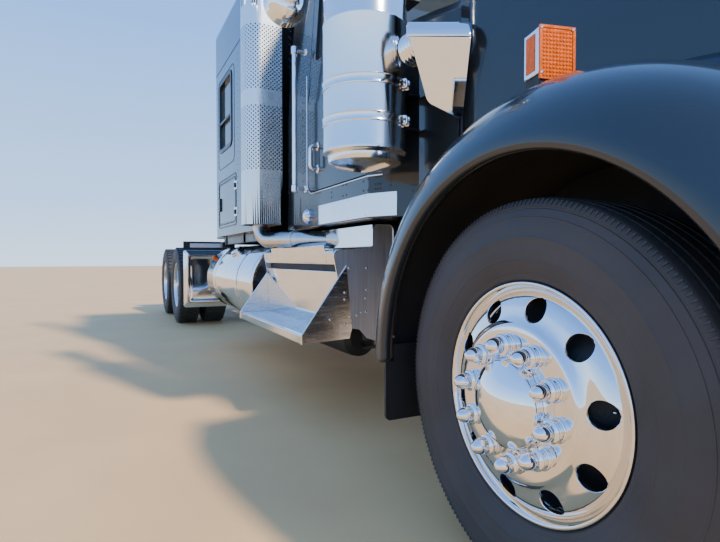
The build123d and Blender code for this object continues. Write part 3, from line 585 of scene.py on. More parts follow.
# radius, distance outboard of the truck's middle
disc_curve = [(0.060, mounting_face), (0.186, mounting_face), (0.1925, 1.1630), (0.200, 1.1560),
              (0.208, 1.1495), (0.222, 1.1445), (0.240, 1.1395), (0.256, 1.1310), (0.268, 1.1195),
              (0.2745, 1.1090)]
rim_lip = 1.1275
dome_foot_radius, dome_foot, dome_top = 0.104, 1.1995, 1.2385
dome_curve = (dome_foot_radius ** 2 + (dome_top - dome_foot) ** 2) / (2 * (dome_top - dome_foot))
disc_thickness = 0.012
for side_name, side in side_names:
    centre = joint_at[f"front_{side_name}_spin"]
    body = f"front_wheel_{side_name}"
    slot = f"rim_front_{side_name}"
    flat = (centre.x, 0, centre.z)
    inner_radius, outer_radius = 0.1995, 0.2725
    band = holed_ring(disc_curve, inner_radius, outer_radius, hand_hole_circle, hand_hole_radius,
                      disc_thickness, centre, side, hand_hole_turn)
    inside = [(0.0605, mounting_face)] + [(r, steady_curve(disc_curve, r)) for r in
                                          (0.10, 0.15, 0.186, 0.189, 0.192, 0.195, 0.1975, inner_radius)]
    outside = [(outer_radius, steady_curve(disc_curve, outer_radius)), (0.2745, 1.1085), (0.2755, 1.1060),
               (0.2765, 1.1050), (0.2785, 1.1060), (0.2800, 1.1090), (0.2835, 1.1165), (0.2870, 1.1210),
               (0.2895, 1.1250), (0.2920, 1.1270), (0.2950, rim_lip), (0.2975, 1.1268), (0.2990, 1.1250),
               (0.2992, 1.1215), (0.2985, 1.1185), (0.2960, 1.1165), (0.2925, 1.1155), (0.2885, 1.1100),
               (0.2868, 1.1040), (0.2862, 1.0800), (0.2720, 1.0640), (0.2660, 1.0500), (0.2660, 0.960),
               (0.2862, 0.9300), (0.2868, 0.9110), (0.2985, 0.8950), (0.2985, 0.8900), (0.2900, 0.8900),
               (0.2760, 0.9080), (0.2700, 0.9400), (0.2560, 0.9600), (0.2560, 1.0480), (0.2620, 1.0590),
               (0.2740, 1.0680), (0.2760, 1.0850), (0.2740, 1.0960),
               (outer_radius, steady_curve(disc_curve, outer_radius) - disc_thickness)]
    hub_back = [(inner_radius, steady_curve(disc_curve, inner_radius) - disc_thickness), (0.190, 1.1420),
                (0.180, 1.1380), (0.0605, 1.1360)]
    back = holed_ring([(r, along - disc_thickness) for r, along in disc_curve], inner_radius, outer_radius,
                      hand_hole_circle, hand_hole_radius, 0.0, centre, side, hand_hole_turn)
    turn_back = radians(hand_hole_turn - sector / 2)
    turned_shapes = [band, back]
    for profile in (inside, outside, hub_back):
        verts, faces = turned(profile, flat, "Y", stud_count * 10, side)
        spun = []
        for x, y, z in verts:
            dx, dz = x - centre.x, z - centre.z
            spun.append((centre.x + dx * cos(turn_back) - dz * sin(turn_back), y,
                         centre.z + dx * sin(turn_back) + dz * cos(turn_back)))
        turned_shapes.append((spun, faces))
    piece(f"steer_wheel_{side_name}", turned_shapes, polished_aluminium, body, smooth=38,
          replaces=(slot,))
    # Black brake drum behind the disc. Its lip is widened to line the barrel's inside: partly the real drum,
    # partly painted shade that keeps the hand holes and barrel dark.
    drum = turned([(0.060, 1.120), (0.180, 1.110), (0.225, 1.075), (0.2620, 1.0640), (0.2660, 1.0630),
                   (0.2600, 1.0570), (0.2485, 1.050), (0.2485, 0.975), (0.192, 0.972), (0.192, 1.00),
                   (0.060, 1.00)], flat, "Y", 64, side)
    piece(f"steer_drum_{side_name}", [drum], running_gear, body)
    crown = []
    for step in range(13):
        radius = dome_foot_radius * (1 - step / 12)
        crown.append((radius, dome_top - dome_curve + (dome_curve ** 2 - radius ** 2) ** 0.5))
    cap = turned([(0.1130, mounting_face), (0.1133, 1.1680), (0.1125, 1.1700), (0.1105, 1.1712),
                  (0.1085, 1.1740), (0.1080, 1.1800), (0.1075, 1.1930), (0.1060, 1.1975)] + crown, flat, "Y",
                 96, side)
    piece(f"hub_cap_{side_name}", [cap], bright_chrome, body, smooth=50)
    places = [(on_wheel(nut_circle, nut_turn + sector * index, mounting_face, centre, side),
               outward[side_name]) for index in range(stud_count)]
    repeated(f"nut_covers_{side_name}", nut_cover, places, bright_chrome, body, smooth=55)
    stem = tube([on_wheel(0.262, hand_hole_turn, 1.070, centre, side),
                 on_wheel(0.250, hand_hole_turn, 1.095, centre, side),
                 on_wheel(0.238, hand_hole_turn + 1, 1.108, centre, side)], 0.0045, 0.008, sides=10)
    piece(f"valve_stem_{side_name}", [stem], bright_chrome, body)

# Drive wheels
# Two discs bolted back to back on each hub: outside, a deep polished aluminium dish with hand holes and
# chromed nut covers; behind it, a second disc coloured black as painted shade seen through the hand holes.
dual_hole_circle = 0.2315
dual_hole_radius = 0.0285
dual_hole_turn = -18 + sector / 2
dish_face = 0.928
dish_curve = [(0.060, dish_face), (0.192, dish_face), (0.200, 0.9295), (0.212, 0.934), (0.236, 0.944),
              (0.252, 0.955), (0.2615, 0.968), (0.2645, 0.980)]
for number, x in drive_axles.items():
    for side_name, side in side_names:
        centre = (x, 0, axle_z)
        body = f"drive_wheels_{number}_{side_name}"
        slot = f"rims_drive_{number}_{side_name}"
        inner_radius, outer_radius = 0.1995, 0.2625
        band = holed_ring(dish_curve, inner_radius, outer_radius, dual_hole_circle, dual_hole_radius,
                          disc_thickness, centre, side, dual_hole_turn)
        hub_side = [(0.0605, dish_face)] + [(r, steady_curve(dish_curve, r)) for r in
                                            (0.12, 0.17, 0.19, 0.195, inner_radius)]
        barrel = [(outer_radius, steady_curve(dish_curve, outer_radius)), (0.2645, 0.980), (0.2630, 0.995),
                  (0.2590, 1.010), (0.2590, 1.052), (0.2640, 1.064), (0.2700, 1.072), (0.2725, 1.085),
                  (0.2735, 1.150), (0.2760, 1.168), (0.2820, 1.176), (0.2865, 1.184), (0.2890, 1.1895),
                  (0.2930, 1.1915), (0.2965, 1.1910), (0.2988, 1.1885), (0.2990, 1.1850), (0.2965, 1.1820),
                  (0.2915, 1.1805), (0.2880, 1.1750), (0.2868, 1.1680), (0.2862, 1.1450), (0.2740, 1.1300),
                  (0.2660, 1.1000), (0.2660, 1.0000), (0.2862, 0.9880), (0.2868, 0.9780), (0.2985, 0.9640),
                  (0.2985, 0.9580), (0.2880, 0.9580), (0.2740, 0.9700), (0.2660, 0.9580),
                  (outer_radius, steady_curve(dish_curve, outer_radius) - disc_thickness)]
        hub_back = [(inner_radius, steady_curve(dish_curve, inner_radius) - disc_thickness), (0.190, 0.9100),
                    (0.0605, 0.9065)]
        back_curve = [(r, along - disc_thickness) for r, along in dish_curve]
        back = holed_ring(back_curve, inner_radius, outer_radius, dual_hole_circle, dual_hole_radius, 0.0,
                          centre, side, dual_hole_turn)
        shapes = [band, back]
        for profile in (hub_side, barrel, hub_back):
            shapes.append(turned(profile, centre, "Y", stud_count * 10, side))
        # Inner disc in running-gear black: painted shade behind the outer dish's hand holes, not the disc's
        # own colour.
        inner_disc = [(0.0605, 0.9060), (0.190, 0.9050), (0.220, 0.8950), (0.255, 0.8720), (0.268, 0.8600),
                      (0.2862, 0.8480), (0.2868, 0.8400), (0.2985, 0.8340), (0.2985, 0.8290),
                      (0.2760, 0.8300), (0.2640, 0.8200), (0.2560, 0.7800), (0.2560, 0.7000),
                      (0.2740, 0.6700), (0.2862, 0.6400), (0.2985, 0.6260), (0.2985, 0.6210),
                      (0.2700, 0.6300), (0.2480, 0.6900), (0.2480, 0.8000), (0.2200, 0.8700),
                      (0.1900, 0.8830), (0.0605, 0.8840)]
        piece(f"inner_wheel_disc_{number}_{side_name}", [turned(inner_disc, centre, "Y", 64, side)],
              running_gear, body)
        piece(f"drive_wheel_discs_{number}_{side_name}", shapes, polished_aluminium, body, smooth=38,
              replaces=(slot,))
        cap = turned([(0.1080, dish_face), (0.1085, 0.9310), (0.1060, 0.9335), (0.1000, 0.9345),
                      (0.0985, 0.9380), (0.0985, 1.0300), (0.0965, 1.0360), (0.0900, 1.0400),
                      (0.0600, 1.0450), (0.0, 1.0470)],
                     centre, "Y", 72, side)
        piece(f"drive_hub_cap_{number}_{side_name}", [cap], bright_chrome, body, smooth=50)
        places = [(on_wheel(nut_circle, nut_turn + sector * index, dish_face, centre, side),
                   outward[side_name])
                  for index in range(stud_count)]
        repeated(f"drive_nut_covers_{number}_{side_name}", nut_cover, places, bright_chrome, body,
                 smooth=55)

# Fuel tanks
# Polished aluminium drums with pressed, dished ends and a round seam, one on each side of the frame.
# Two bright straps hold each down on black brackets, and a small amber lamp hangs over its rear end.
tank_radius = 0.311
tank_y = 0.805
tank_z = 0.673
tank_front = 2.76
tank_rear = 4.50
brushed_aluminium = finish_of("brushed_aluminium", (0.70, 0.715, 0.735), metallic=1.0, roughness=0.24,
                              spread=0.06, mottle=0.06, scale=7, stretch=(1, 1, 14), bump=0.06, bump_scale=40)
amber_lens = finish_of("amber_lens", (0.80, 0.125, 0.0), roughness=0.26, spread=0.05, mottle=0.12, scale=60,
                       bump=0.5, bump_scale=260, specular=0.15)
polished_tank = finish_of("polished_tank", (0.84, 0.85, 0.865), metallic=1.0, roughness=0.085, spread=0.03,
                          mottle=0.03, scale=5, stretch=(1.0, 8, 8), bump=0.02, bump_scale=14)
end_bulge = 0.026
tank_length = tank_rear - tank_front - 2 * end_bulge
# radius, how far the end stands out there
tank_end = [(tank_radius, 0), (tank_radius - 0.004, 0.016), (tank_radius - 0.012, 0.024),
            (tank_radius - 0.022, end_bulge), (tank_radius - 0.034, 0.021), (tank_radius - 0.060, 0.013),
            (tank_radius - 0.110, 0.009), (0, 0.006)]
tank_profile = [(radius, -tank_length - along) for radius, along in reversed(tank_end)]
for share in (0.50, 0.42):
    seam = -tank_length * share
    tank_profile += [(tank_radius, seam + 0.005), (tank_radius + 0.0012, seam), (tank_radius, seam - 0.005)]
tank_profile += tank_end


def on_side(outline, side):
    """Outline given as (distance from the truck's middle, height), on one side of the truck."""
    return [(side * y, z) for y, z in outline]


for side_name, side in side_names:
    drum = turned(tank_profile, (behind(tank_front + end_bulge), side * tank_y, tank_z), "X", 128)
    piece(f"fuel_tank_{side_name}", [drum], polished_tank, "frame", smooth=24,
          replaces=("fuel_tanks",) if side == 1 else ())
    straps = []
    brackets = []
    for station in (3.20, 4.10):
        band = [(tank_radius + 0.0005, -0.032), (tank_radius + 0.0045, -0.0315),
                (tank_radius + 0.0045, -0.022), (tank_radius + 0.0025, -0.020), (tank_radius + 0.0025, 0.020),
                (tank_radius + 0.0045, 0.022), (tank_radius + 0.0045, 0.0315), (tank_radius + 0.0005, 0.032)]
        straps.append(turned(band, (behind(station), side * tank_y, tank_z), "X", 96))
        cradle = [(0.433, 0.99), (0.500, 0.99), (0.515, 0.80), (0.500, 0.66), (0.540, 0.52), (0.640, 0.405),
                  (0.760, 0.352), (0.760, 0.335), (0.610, 0.345), (0.433, 0.50)]
        brackets.append(prism(on_side(cradle, side), behind(station) - 0.045, behind(station) + 0.045, "X"))
    piece(f"tank_straps_{side_name}", straps, bright_chrome, "frame", smooth=30)
    piece(f"tank_brackets_{side_name}", brackets, chassis_black, "frame", bevel=0.004)
    lean = radians(38)
    cap_y = side * (tank_y + (tank_radius - 0.006) * sin(lean))
    cap_z = tank_z + (tank_radius - 0.006) * cos(lean)
    cap_part = turned([(0.0, 0.0), (0.062, 0.0), (0.062, 0.012), (0.056, 0.016), (0.056, 0.034),
                       (0.052, 0.040), (0.030, 0.043), (0.0, 0.044)], (0, 0, 0), "Z", 48)
    repeated(f"filler_cap_{side_name}", cap_part, [((behind(3.62), cap_y, cap_z), (-side * lean, 0, 0))],
             bright_chrome, "frame")
    hanger = slab(behind(4.45), behind(4.38), side * 0.85, side * 0.98, 0.975, 1.035)
    piece(f"tank_lamp_hanger_{side_name}", [hanger], chassis_black, "frame", bevel=0.004)
    lamp_at = (behind(4.47), side * 1.035, 0.872)
    lens = turned([(0.026, 0.0), (0.026, 0.012), (0.022, 0.020), (0.012, 0.025), (0.0, 0.026)], lamp_at, "Y",
                  28, side)
    foot = turned([(0.0, -0.060), (0.031, -0.060), (0.031, 0.002), (0.0, 0.002)], lamp_at, "Y", 28, side)
    piece(f"tank_lamp_{side_name}", [lens], amber_lens, "frame", smooth=50)
    piece(f"tank_lamp_foot_{side_name}", [foot], chassis_black, "frame")

# Step boxes
# Folded aluminium boxes under the doors, riveted together and hung from the frame.
# Each has brushed end panels, polished risers and a studded tread that stands out on gussets.
step_front = 1.420
step_rear = 2.680
tread_z = 0.483
end_outline = [(0.680, 0.466), (0.700, 0.442), (0.730, 0.430), (0.790, 0.430), (0.840, 0.448), (0.880, 0.494),
               (0.925, 0.503), (0.990, 0.470), (1.006, 0.772), (1.034, 0.906), (0.804, 0.920), (0.804, 1.045),
               (0.680, 1.045)]
rim_outline = [(0.9905, 0.478), (1.0065, 0.772), (1.0345, 0.9065), (0.8045, 0.9205), (0.8045, 1.0455),
               (0.680, 1.0455), (0.680, 0.470)]
polished_sheet = finish_of("polished_sheet", (0.83, 0.84, 0.855), metallic=1.0, roughness=0.07, spread=0.03,
                           mottle=0.03, scale=6, bump=0.03, bump_scale=9)
brushed_panel = finish_of("brushed_panel", (0.66, 0.67, 0.69), metallic=0.82, roughness=0.46, spread=0.06,
                          mottle=0.10, scale=3, stretch=(1, 22, 0.8), bump=0.05, bump_scale=30)
matte_black = finish_of("matte_black", (0.010, 0.010, 0.011), roughness=0.6, scale=12, bump=0.2,
                        bump_scale=200)


def rounded(corners, radii, steps=6):
    """Closed outline with round corners: radii is one radius for all, or one for each corner it numbers."""
    if not isinstance(radii, dict):
        radii = dict.fromkeys(range(len(corners)), radii)
    points = []
    for index, corner in enumerate(corners):
        here = Vector(corner)
        if index not in radii:
            points.append(tuple(here))
            continue
        before = (Vector(corners[index - 1]) - here).normalized()
        after = (Vector(corners[(index + 1) % len(corners)]) - here).normalized()
        half = before.angle(after) / 2
        reach = radii[index] / tan(half)
        centre = here + (before + after).normalized() * radii[index] / sin(half)
        start = here + before * reach - centre
        end = here + after * reach - centre
        turn = start.angle_signed(end)
        for step in range(steps + 1):
            offset = start.copy()
            offset.rotate(Matrix.Rotation(-turn * step / steps, 2))
            points.append(tuple(centre + offset))
    return points


rivet_head = turned([(0.0, 0.0), (0.005, 0.0), (0.0042, 0.0016), (0.0022, 0.0028), (0.0, 0.0031)], (0, 0, 0),
                    "Z", 8)
stud_bump = turned([(0.0045, 0.0), (0.0040, 0.0014), (0.0022, 0.0023), (0.0, 0.0026)], (0, 0, 0), "Z", 8)
step_end = behind(step_rear)
step_face = behind(step_front)
lower_riser = [(0.640, 0.52), (0.95, 0.52), (0.987, 0.472), (0.990, 0.470), (1.005, 0.755), (1.006, 0.795),
               (0.998, 0.800), (0.90, 0.800), (0.64, 0.800)]
upper_riser = [(0.64, 0.832), (1.006, 0.832), (1.018, 0.834), (1.032, 0.898), (1.026, 0.906), (0.804, 0.9195),
               (0.804, 1.044), (0.640, 1.044)]
step_edge = [(1.0195, 0.842), (1.0225, 0.841), (1.0375, 0.930), (1.034, 0.936), (0.965, 0.938),
             (0.965, 0.934), (1.031, 0.931)]
slot_strip = [(0.70, 0.798), (0.9765, 0.798), (0.9765, 0.834), (0.70, 0.834)]
tread = [(0.945, tread_z - 0.004), (1.197, tread_z - 0.001), (1.200, tread_z - 0.004), (1.200, 0.441),
         (1.196, 0.440), (1.192, 0.442), (1.192, tread_z - 0.010), (0.945, tread_z - 0.010)]
gusset = [(0.957, 0.827), (1.2005, tread_z), (1.2005, 0.440), (0.940, 0.452), (0.925, 0.503)]
gusset_rivets = ((0.945, 0.815), (0.968, 0.690), (0.968, 0.655), (0.966, 0.530), (1.05, 0.555), (0.94, 0.565),
                 (0.90, 0.570))
panel_rivets = ((0.84, 0.815), (0.84, 0.700), (0.845, 0.655), (0.842, 0.585), (0.870, 0.582))
for side_name, side in side_names:
    node = f"step_box_{side_name}"
    body_outline = on_side(rounded(end_outline, {8: 0.02, 9: 0.030, 10: 0.018, 11: 0.030, 12: 0.030}, 5),
                           side)
    ends = [prism(body_outline, step_face - 0.005, step_face, "X"),
            prism(body_outline, step_end, step_end + 0.005, "X")]
    piece(f"step_end_panels_{side_name}", ends, brushed_panel, "frame", bevel=0.002, replaces=(node,))
    points = rounded(rim_outline, {2: 0.030, 3: 0.018, 4: 0.030, 5: 0.030})
    rim = tube([(step_face + 0.001, side * y, z) for y, z in points], 0.0032, 0.0001, sides=8, steps=1)
    piece(f"step_end_rim_{side_name}", [rim], bright_chrome, "frame", smooth=50)
    sheets = [prism(on_side(lower_riser, side), step_end + 0.004, step_face - 0.004, "X"),
              prism(on_side(upper_riser, side), step_end + 0.004, step_face - 0.004, "X"),
              prism(on_side(step_edge, side), behind(2.476), behind(1.528), "X")]
    piece(f"step_risers_{side_name}", sheets, polished_sheet, "frame", bevel=0.0015)
    # Matt black strip at the back of the gap between the risers: painted shade in the slot.
    slot_shade_strip = prism(on_side(slot_strip, side), step_end + 0.014, step_face - 0.014, "X")
    piece(f"step_slot_{side_name}", [slot_shade_strip], matte_black, "frame")
    tread_sheet = prism(on_side(tread, side), step_end + 0.006, step_face - 0.006, "X")
    piece(f"step_tread_{side_name}", [tread_sheet], polished_sheet, "frame", bevel=0.0015)
    plates = [prism(on_side(gusset, side), step_face, step_face + 0.004, "X"),
              prism(on_side(gusset, side), step_end - 0.004, step_end, "X")]
    piece(f"step_gussets_{side_name}", plates, brushed_aluminium, "frame", bevel=0.001)
    edges = []
    for x in (step_face + 0.002, step_end - 0.002):
        edges.append(tube([(x, side * 0.957, 0.828), (x, side * 1.2012, tread_z + 0.001),
                           (x, side * 1.2012, 0.440)],
                          0.0035, 0.006, sides=8, steps=3))
    piece(f"step_gusset_edges_{side_name}", edges, bright_chrome, "frame", smooth=50)
    rivets = [((step_face + 0.0045, side * y, z), outward["front"]) for y, z in gusset_rivets]
    rivets += [((step_face + 0.0005, side * y, z), outward["front"]) for y, z in panel_rivets]
    repeated(f"step_rivets_{side_name}", rivet_head, rivets, bright_chrome, "frame", size=1.5)
    studs = []
    for y_start in (0.968, 1.020, 1.072, 1.124):
        for line in range(4):
            y = y_start + 0.012 * line
            for index in range(88):
                x = step_end + 0.020 + index * 0.014 + (0.007 if line % 2 else 0)
                if x < step_face - 0.015:
                    studs.append(((x, side * y, tread_z - 0.0035 + (y - 0.945) * 0.012), outward["up"]))
    repeated(f"tread_studs_{side_name}", stud_bump, studs, brushed_aluminium, "frame")
    screws = [((behind(1.56 + 0.13 * index), side * 1.0275, 0.880), outward[side_name]) for index in range(8)]
    repeated(f"step_screws_{side_name}", rivet_head, screws, brushed_aluminium, "frame", size=1.2)
    mount = slab(step_end + 0.02, step_face - 0.02, side * 0.433, side * 0.642, 0.78, 0.90)
    air_tank = turned([(0, -0.36), (0.07, -0.35), (0.10, -0.32), (0.105, -0.28), (0.105, 0.28), (0.10, 0.32),
                       (0.07, 0.35), (0, 0.36)], (behind(1.98), side * 0.76, 0.405), "X", 40)
    hose = tube([(behind(1.46), side * 0.72, 0.52), (behind(1.44), side * 0.74, 0.40),
                 (behind(1.60), side * 0.76, 0.36), (behind(1.66), side * 0.76, 0.40)], 0.011, 0.03, sides=10)
    valve = turned([(0, -0.03), (0.035, -0.03), (0.035, 0.0), (0.022, 0.004), (0.022, 0.03), (0, 0.03)],
                   (behind(1.47), side * 0.80, 0.46), "Z", 20)
    piece(f"step_underside_{side_name}", [mount, air_tank, hose, valve], matte_black, "frame")

# Cab
# Aluminium shell, riveted and painted in dark slate-blue gloss, on the frame behind the engine.
# A polished kick plate is screwed on below each door, and a bright bead runs along the door's opening.
slate_paint = finish_of("slate_paint", (0.026, 0.032, 0.036), metallic=0.25, roughness=0.24, spread=0.03,
                        mottle=0.05, scale=3, bump=0.012, bump_scale=400, coat=0.65, specular=0.25)
cab_side_y = 0.92
taper_start = 1.245
taper_slope = 0.5306
taper_angle = atan2(taper_slope, 1)


def flank_y(station):
    """Half width of the cab's side at a station; it narrows towards the hood."""
    return cab_side_y - max(taper_start - station, 0) * taper_slope


# station behind the front axle, heights of the screws there
panel_screws = ((1.692, (1.262, 1.235, 1.207)), (1.541, (1.254, 1.199)), (1.496, (1.254, 1.200)),
                (1.299, (1.244, 1.198)), (1.250, (1.248, 1.196)), (1.211, (1.255, 1.220, 1.197)),
                (1.198, (1.255, 1.220, 1.197)), (1.185, (1.255, 1.220, 1.197)), (1.134, (1.230, 1.209)),
                (1.027, (1.173,)))
# size of the rosette there, how far it stands out
lamp_levels = ((1.0, -0.001), (1.0, 0.010), (0.97, 0.018), (0.86, 0.028), (0.66, 0.037), (0.36, 0.043),
               (0.02, 0.045))
lamp_sides = 64
bead_z = 1.263
dress("cab_shell", slate_paint)
paint_rivets = []
for side_name, side in side_names:
    for index in range(26):
        paint_rivets.append(((behind(2.385), side * cab_side_y, 1.30 + 0.05 * index), outward[side_name]))
        paint_rivets.append(((behind(2.415), side * cab_side_y, 1.325 + 0.05 * index), outward[side_name]))
    for index in range(22):
        paint_rivets.append(((behind(2.155), side * cab_side_y, 1.36 + 0.05 * index), outward[side_name]))
    for column, heights in panel_screws:
        turn = outward[side_name] if column > taper_start else (-side * pi / 2, 0, -side * taper_angle)
        for z in heights:
            paint_rivets.append(((behind(column), side * flank_y(column), z), turn))
    for index in range(12):
        paint_rivets.append(((behind(2.20), side * cab_side_y, 1.12 + 0.012 * index), outward[side_name]))
repeated("cab_rivets", rivet_head, paint_rivets, slate_paint, "frame", size=1.1)
for side_name, side in side_names:
    plan = [(behind(1.88), side * (cab_side_y + 0.0006)), (behind(1.88), side * (cab_side_y + 0.0036)),
            (behind(taper_start), side * (cab_side_y + 0.0036)),
            (behind(1.10), side * (flank_y(1.10) + 0.0040)), (behind(1.10), side * (flank_y(1.10) + 0.0007)),
            (behind(taper_start), side * (cab_side_y + 0.0006))]
    piece(f"kick_plate_{side_name}", [prism(plan, 1.066, 1.178, "Z")], polished_sheet, "frame",
          bevel=0.0008)
    places = [((behind(station), side * (cab_side_y + 0.0036), z), outward[side_name])
              for station in (1.27, 1.47, 1.67, 1.865) for z in (1.168, 1.076)]
    repeated(f"kick_plate_screws_{side_name}", rivet_head, places, polished_sheet, "frame",
             size=0.9)
    rosette = []
    for share, out in lamp_levels:
        ring = []
        for step in range(lamp_sides):
            angle = 2 * pi * step / lamp_sides
            radius = (0.0425 + 0.0035 * cos(8 * angle)) * share
            ring.append((behind(2.036) + radius * cos(angle), side * (cab_side_y + out),
                         1.125 + radius * sin(angle)))
        rosette.append(ring)
    verts, faces = loft(rosette, capped=False)
    faces.append(tuple(range(len(verts) - lamp_sides, len(verts))))
    piece(f"cab_step_lamp_{side_name}", [(verts, faces)], bright_chrome, "frame", smooth=60)
    bead_y = side * (cab_side_y + 0.0015)
    bead = tube([(behind(2.074), bead_y, 2.0), (behind(2.074), bead_y, bead_z),
                 (behind(taper_start), bead_y, bead_z)],
                0.004, 0.085, sides=10, steps=10)
    front_bead = tube([(behind(taper_start + 0.002), bead_y, bead_z),
                       (behind(1.17), side * (flank_y(1.17) + 0.0018), bead_z)], 0.004, 0.01, sides=10)
    piece(f"door_surround_bead_{side_name}", [bead, front_bead], bright_chrome, "frame",
          smooth=50)

# Sleeper
# A taller riveted box behind the cab, in the same paint, joined to it by a folded rubber boot.
# It stands on its own bearers, and its windows and lockers have black frames.
dress("sleeper_shell", slate_paint)
sleeper_y = 1.04
rivet_pitch = 0.052
frame_black = finish_of("frame_black", (0.012, 0.013, 0.015), roughness=0.32, scale=9, bump=0.1,
                        bump_scale=200)


def rounded_box(left, right, low, high, radius, steps=6):
    """Rounded rectangle as a closed outline."""
    return rounded([(left, low), (right, low), (right, high), (left, high)], radius, steps)


def side_frame(stations, heights, edge, corner, thickness, side):
    """Flat rounded frame that stands on the sleeper's side wall."""
    rear, front = behind(stations[0]), behind(stations[1])
    low, high = heights
    outside = rounded_box(rear, front, low, high, corner, 8)
    inside = rounded_box(rear + edge, front - edge, low + edge, high - edge, max(corner - edge, 0.012), 8)
    wall, face = sleeper_y - 0.001, sleeper_y + thickness
    levels = ((outside, wall), (outside, face), (inside, face), (inside, wall), (outside, wall))
    return loft([[(x, side * y, z) for x, z in outline] for outline, y in levels], capped=False)


sleeper_rivets = []
for side_name, side in side_names:
    panel = side_frame((4.22, 3.54), (1.72, 2.58), 0.010, 0.075, 0.002, side)
    piece(f"sleeper_panel_seam_{side_name}", [panel], frame_black, "frame", smooth=40)
    glass_frame = side_frame((4.165, 3.635), (1.875, 2.555), 0.036, 0.070, 0.007, side)
    bar = slab(behind(4.14), behind(3.66), side * (sleeper_y - 0.014), side * (sleeper_y + 0.004), 2.150,
               2.172)
    piece(f"sleeper_window_frame_{side_name}", [glass_frame, bar], frame_black, "frame",
          smooth=40)
    rim = side_frame((4.225, 3.481), (1.155, 1.615), 0.014, 0.040, 0.003, side)
    piece(f"locker_surround_{side_name}", [rim], frame_black, "frame", smooth=40)
    for index in range(27):
        for station in (2.90, 3.42, 4.26):
            height = 1.25 + rivet_pitch * index
            sleeper_rivets.append(((behind(station), side * sleeper_y, height), outward[side_name]))
    seam = slab(behind(4.325), behind(2.75), side * (sleeper_y - 0.001), side * (sleeper_y + 0.0018), 2.676,
                2.688)
    piece(f"sleeper_roof_seam_{side_name}", [seam], frame_black, "frame")
for index in range(27):
    for y in (-0.96, -0.32, 0.32, 0.96):
        sleeper_rivets.append(((behind(4.330), y, 1.25 + rivet_pitch * index), outward["rear"]))
repeated("sleeper_rivets", rivet_head, sleeper_rivets, slate_paint, "frame", size=0.9)
back_seams = [slab(behind(4.3318), behind(4.329), y - 0.004, y + 0.004, 1.200, 2.660)
              for y in (-0.345, 0.345)]
piece("sleeper_back_seams", back_seams, frame_black, "frame")
boot_rubber = finish_of("boot_rubber", (0.015, 0.015, 0.016), roughness=0.7, stretch=(60, 1, 1), bump=0.6,
                        bump_scale=4)
boot = []
for step in range(9):
    x = behind(2.745) + 0.295 * step / 8
    out = 0.055 if step % 2 else 0.015
    half, top = 0.52 + out, 2.86 + out
    boot.append([(x, -half, 1.11), (x, half, 1.11), (x, half, top), (x, -half, top)])
piece("boot_folds", [loft(boot, capped=False)], boot_rubber, "frame", smooth=20,
      replaces=("sleeper_boot",))
bearer_low, bearer_high = 1.0045, 1.0795
bearers = [slab(behind(station + 0.042), behind(station - 0.042), -0.962, 0.962, bearer_low, bearer_high)
           for station in (2.90, 3.52, 4.24)]
bearers += [slab(behind(4.312), behind(2.763), y - 0.032, y + 0.032, bearer_low, bearer_high)
            for y in (-0.93, 0.93)]
piece("sleeper_bearers", bearers, frame_black, "frame", bevel=0.003)

# Locker doors
# Painted lids in the sleeper's sides, hinged at their front edges.
# Each has a black edge strip and a moulded black pull near its rear edge.
for side_name, side in side_names:
    node = f"locker_door_{side_name}"
    dress(node, slate_paint)
    cup = slab(behind(4.176), behind(4.124), side * (sleeper_y - 0.001), side * (sleeper_y + 0.0145), 1.322,
               1.448)
    piece(f"locker_pull_{side_name}", [cup], frame_black, node, bevel=0.004)
    edge = side_frame((4.186, 3.520), (1.194, 1.576), 0.008, 0.024, 0.0015, side)
    piece(f"locker_edge_{side_name}", [edge], frame_black, node, smooth=40)

# Glass
# Lightly tinted safety glass: the windscreen and the sleeper's windows are fixed panes.
# Those of the doors ride with the doors.
tinted_glass = finish_of("tinted_glass", (0.30, 0.34, 0.34), roughness=0.03, spread=0.01, mottle=0.02,
                         scale=4, bump=0.01, bump_scale=6)
glass_inputs = tinted_glass.node_tree.nodes["Principled BSDF"].inputs
glass_inputs["Transmission Weight"].default_value = 0.85
glass_inputs["IOR"].default_value = 1.45
for node in ("fixed_glass", "door_glass_left", "door_glass_right"):
    dress(node, tinted_glass)
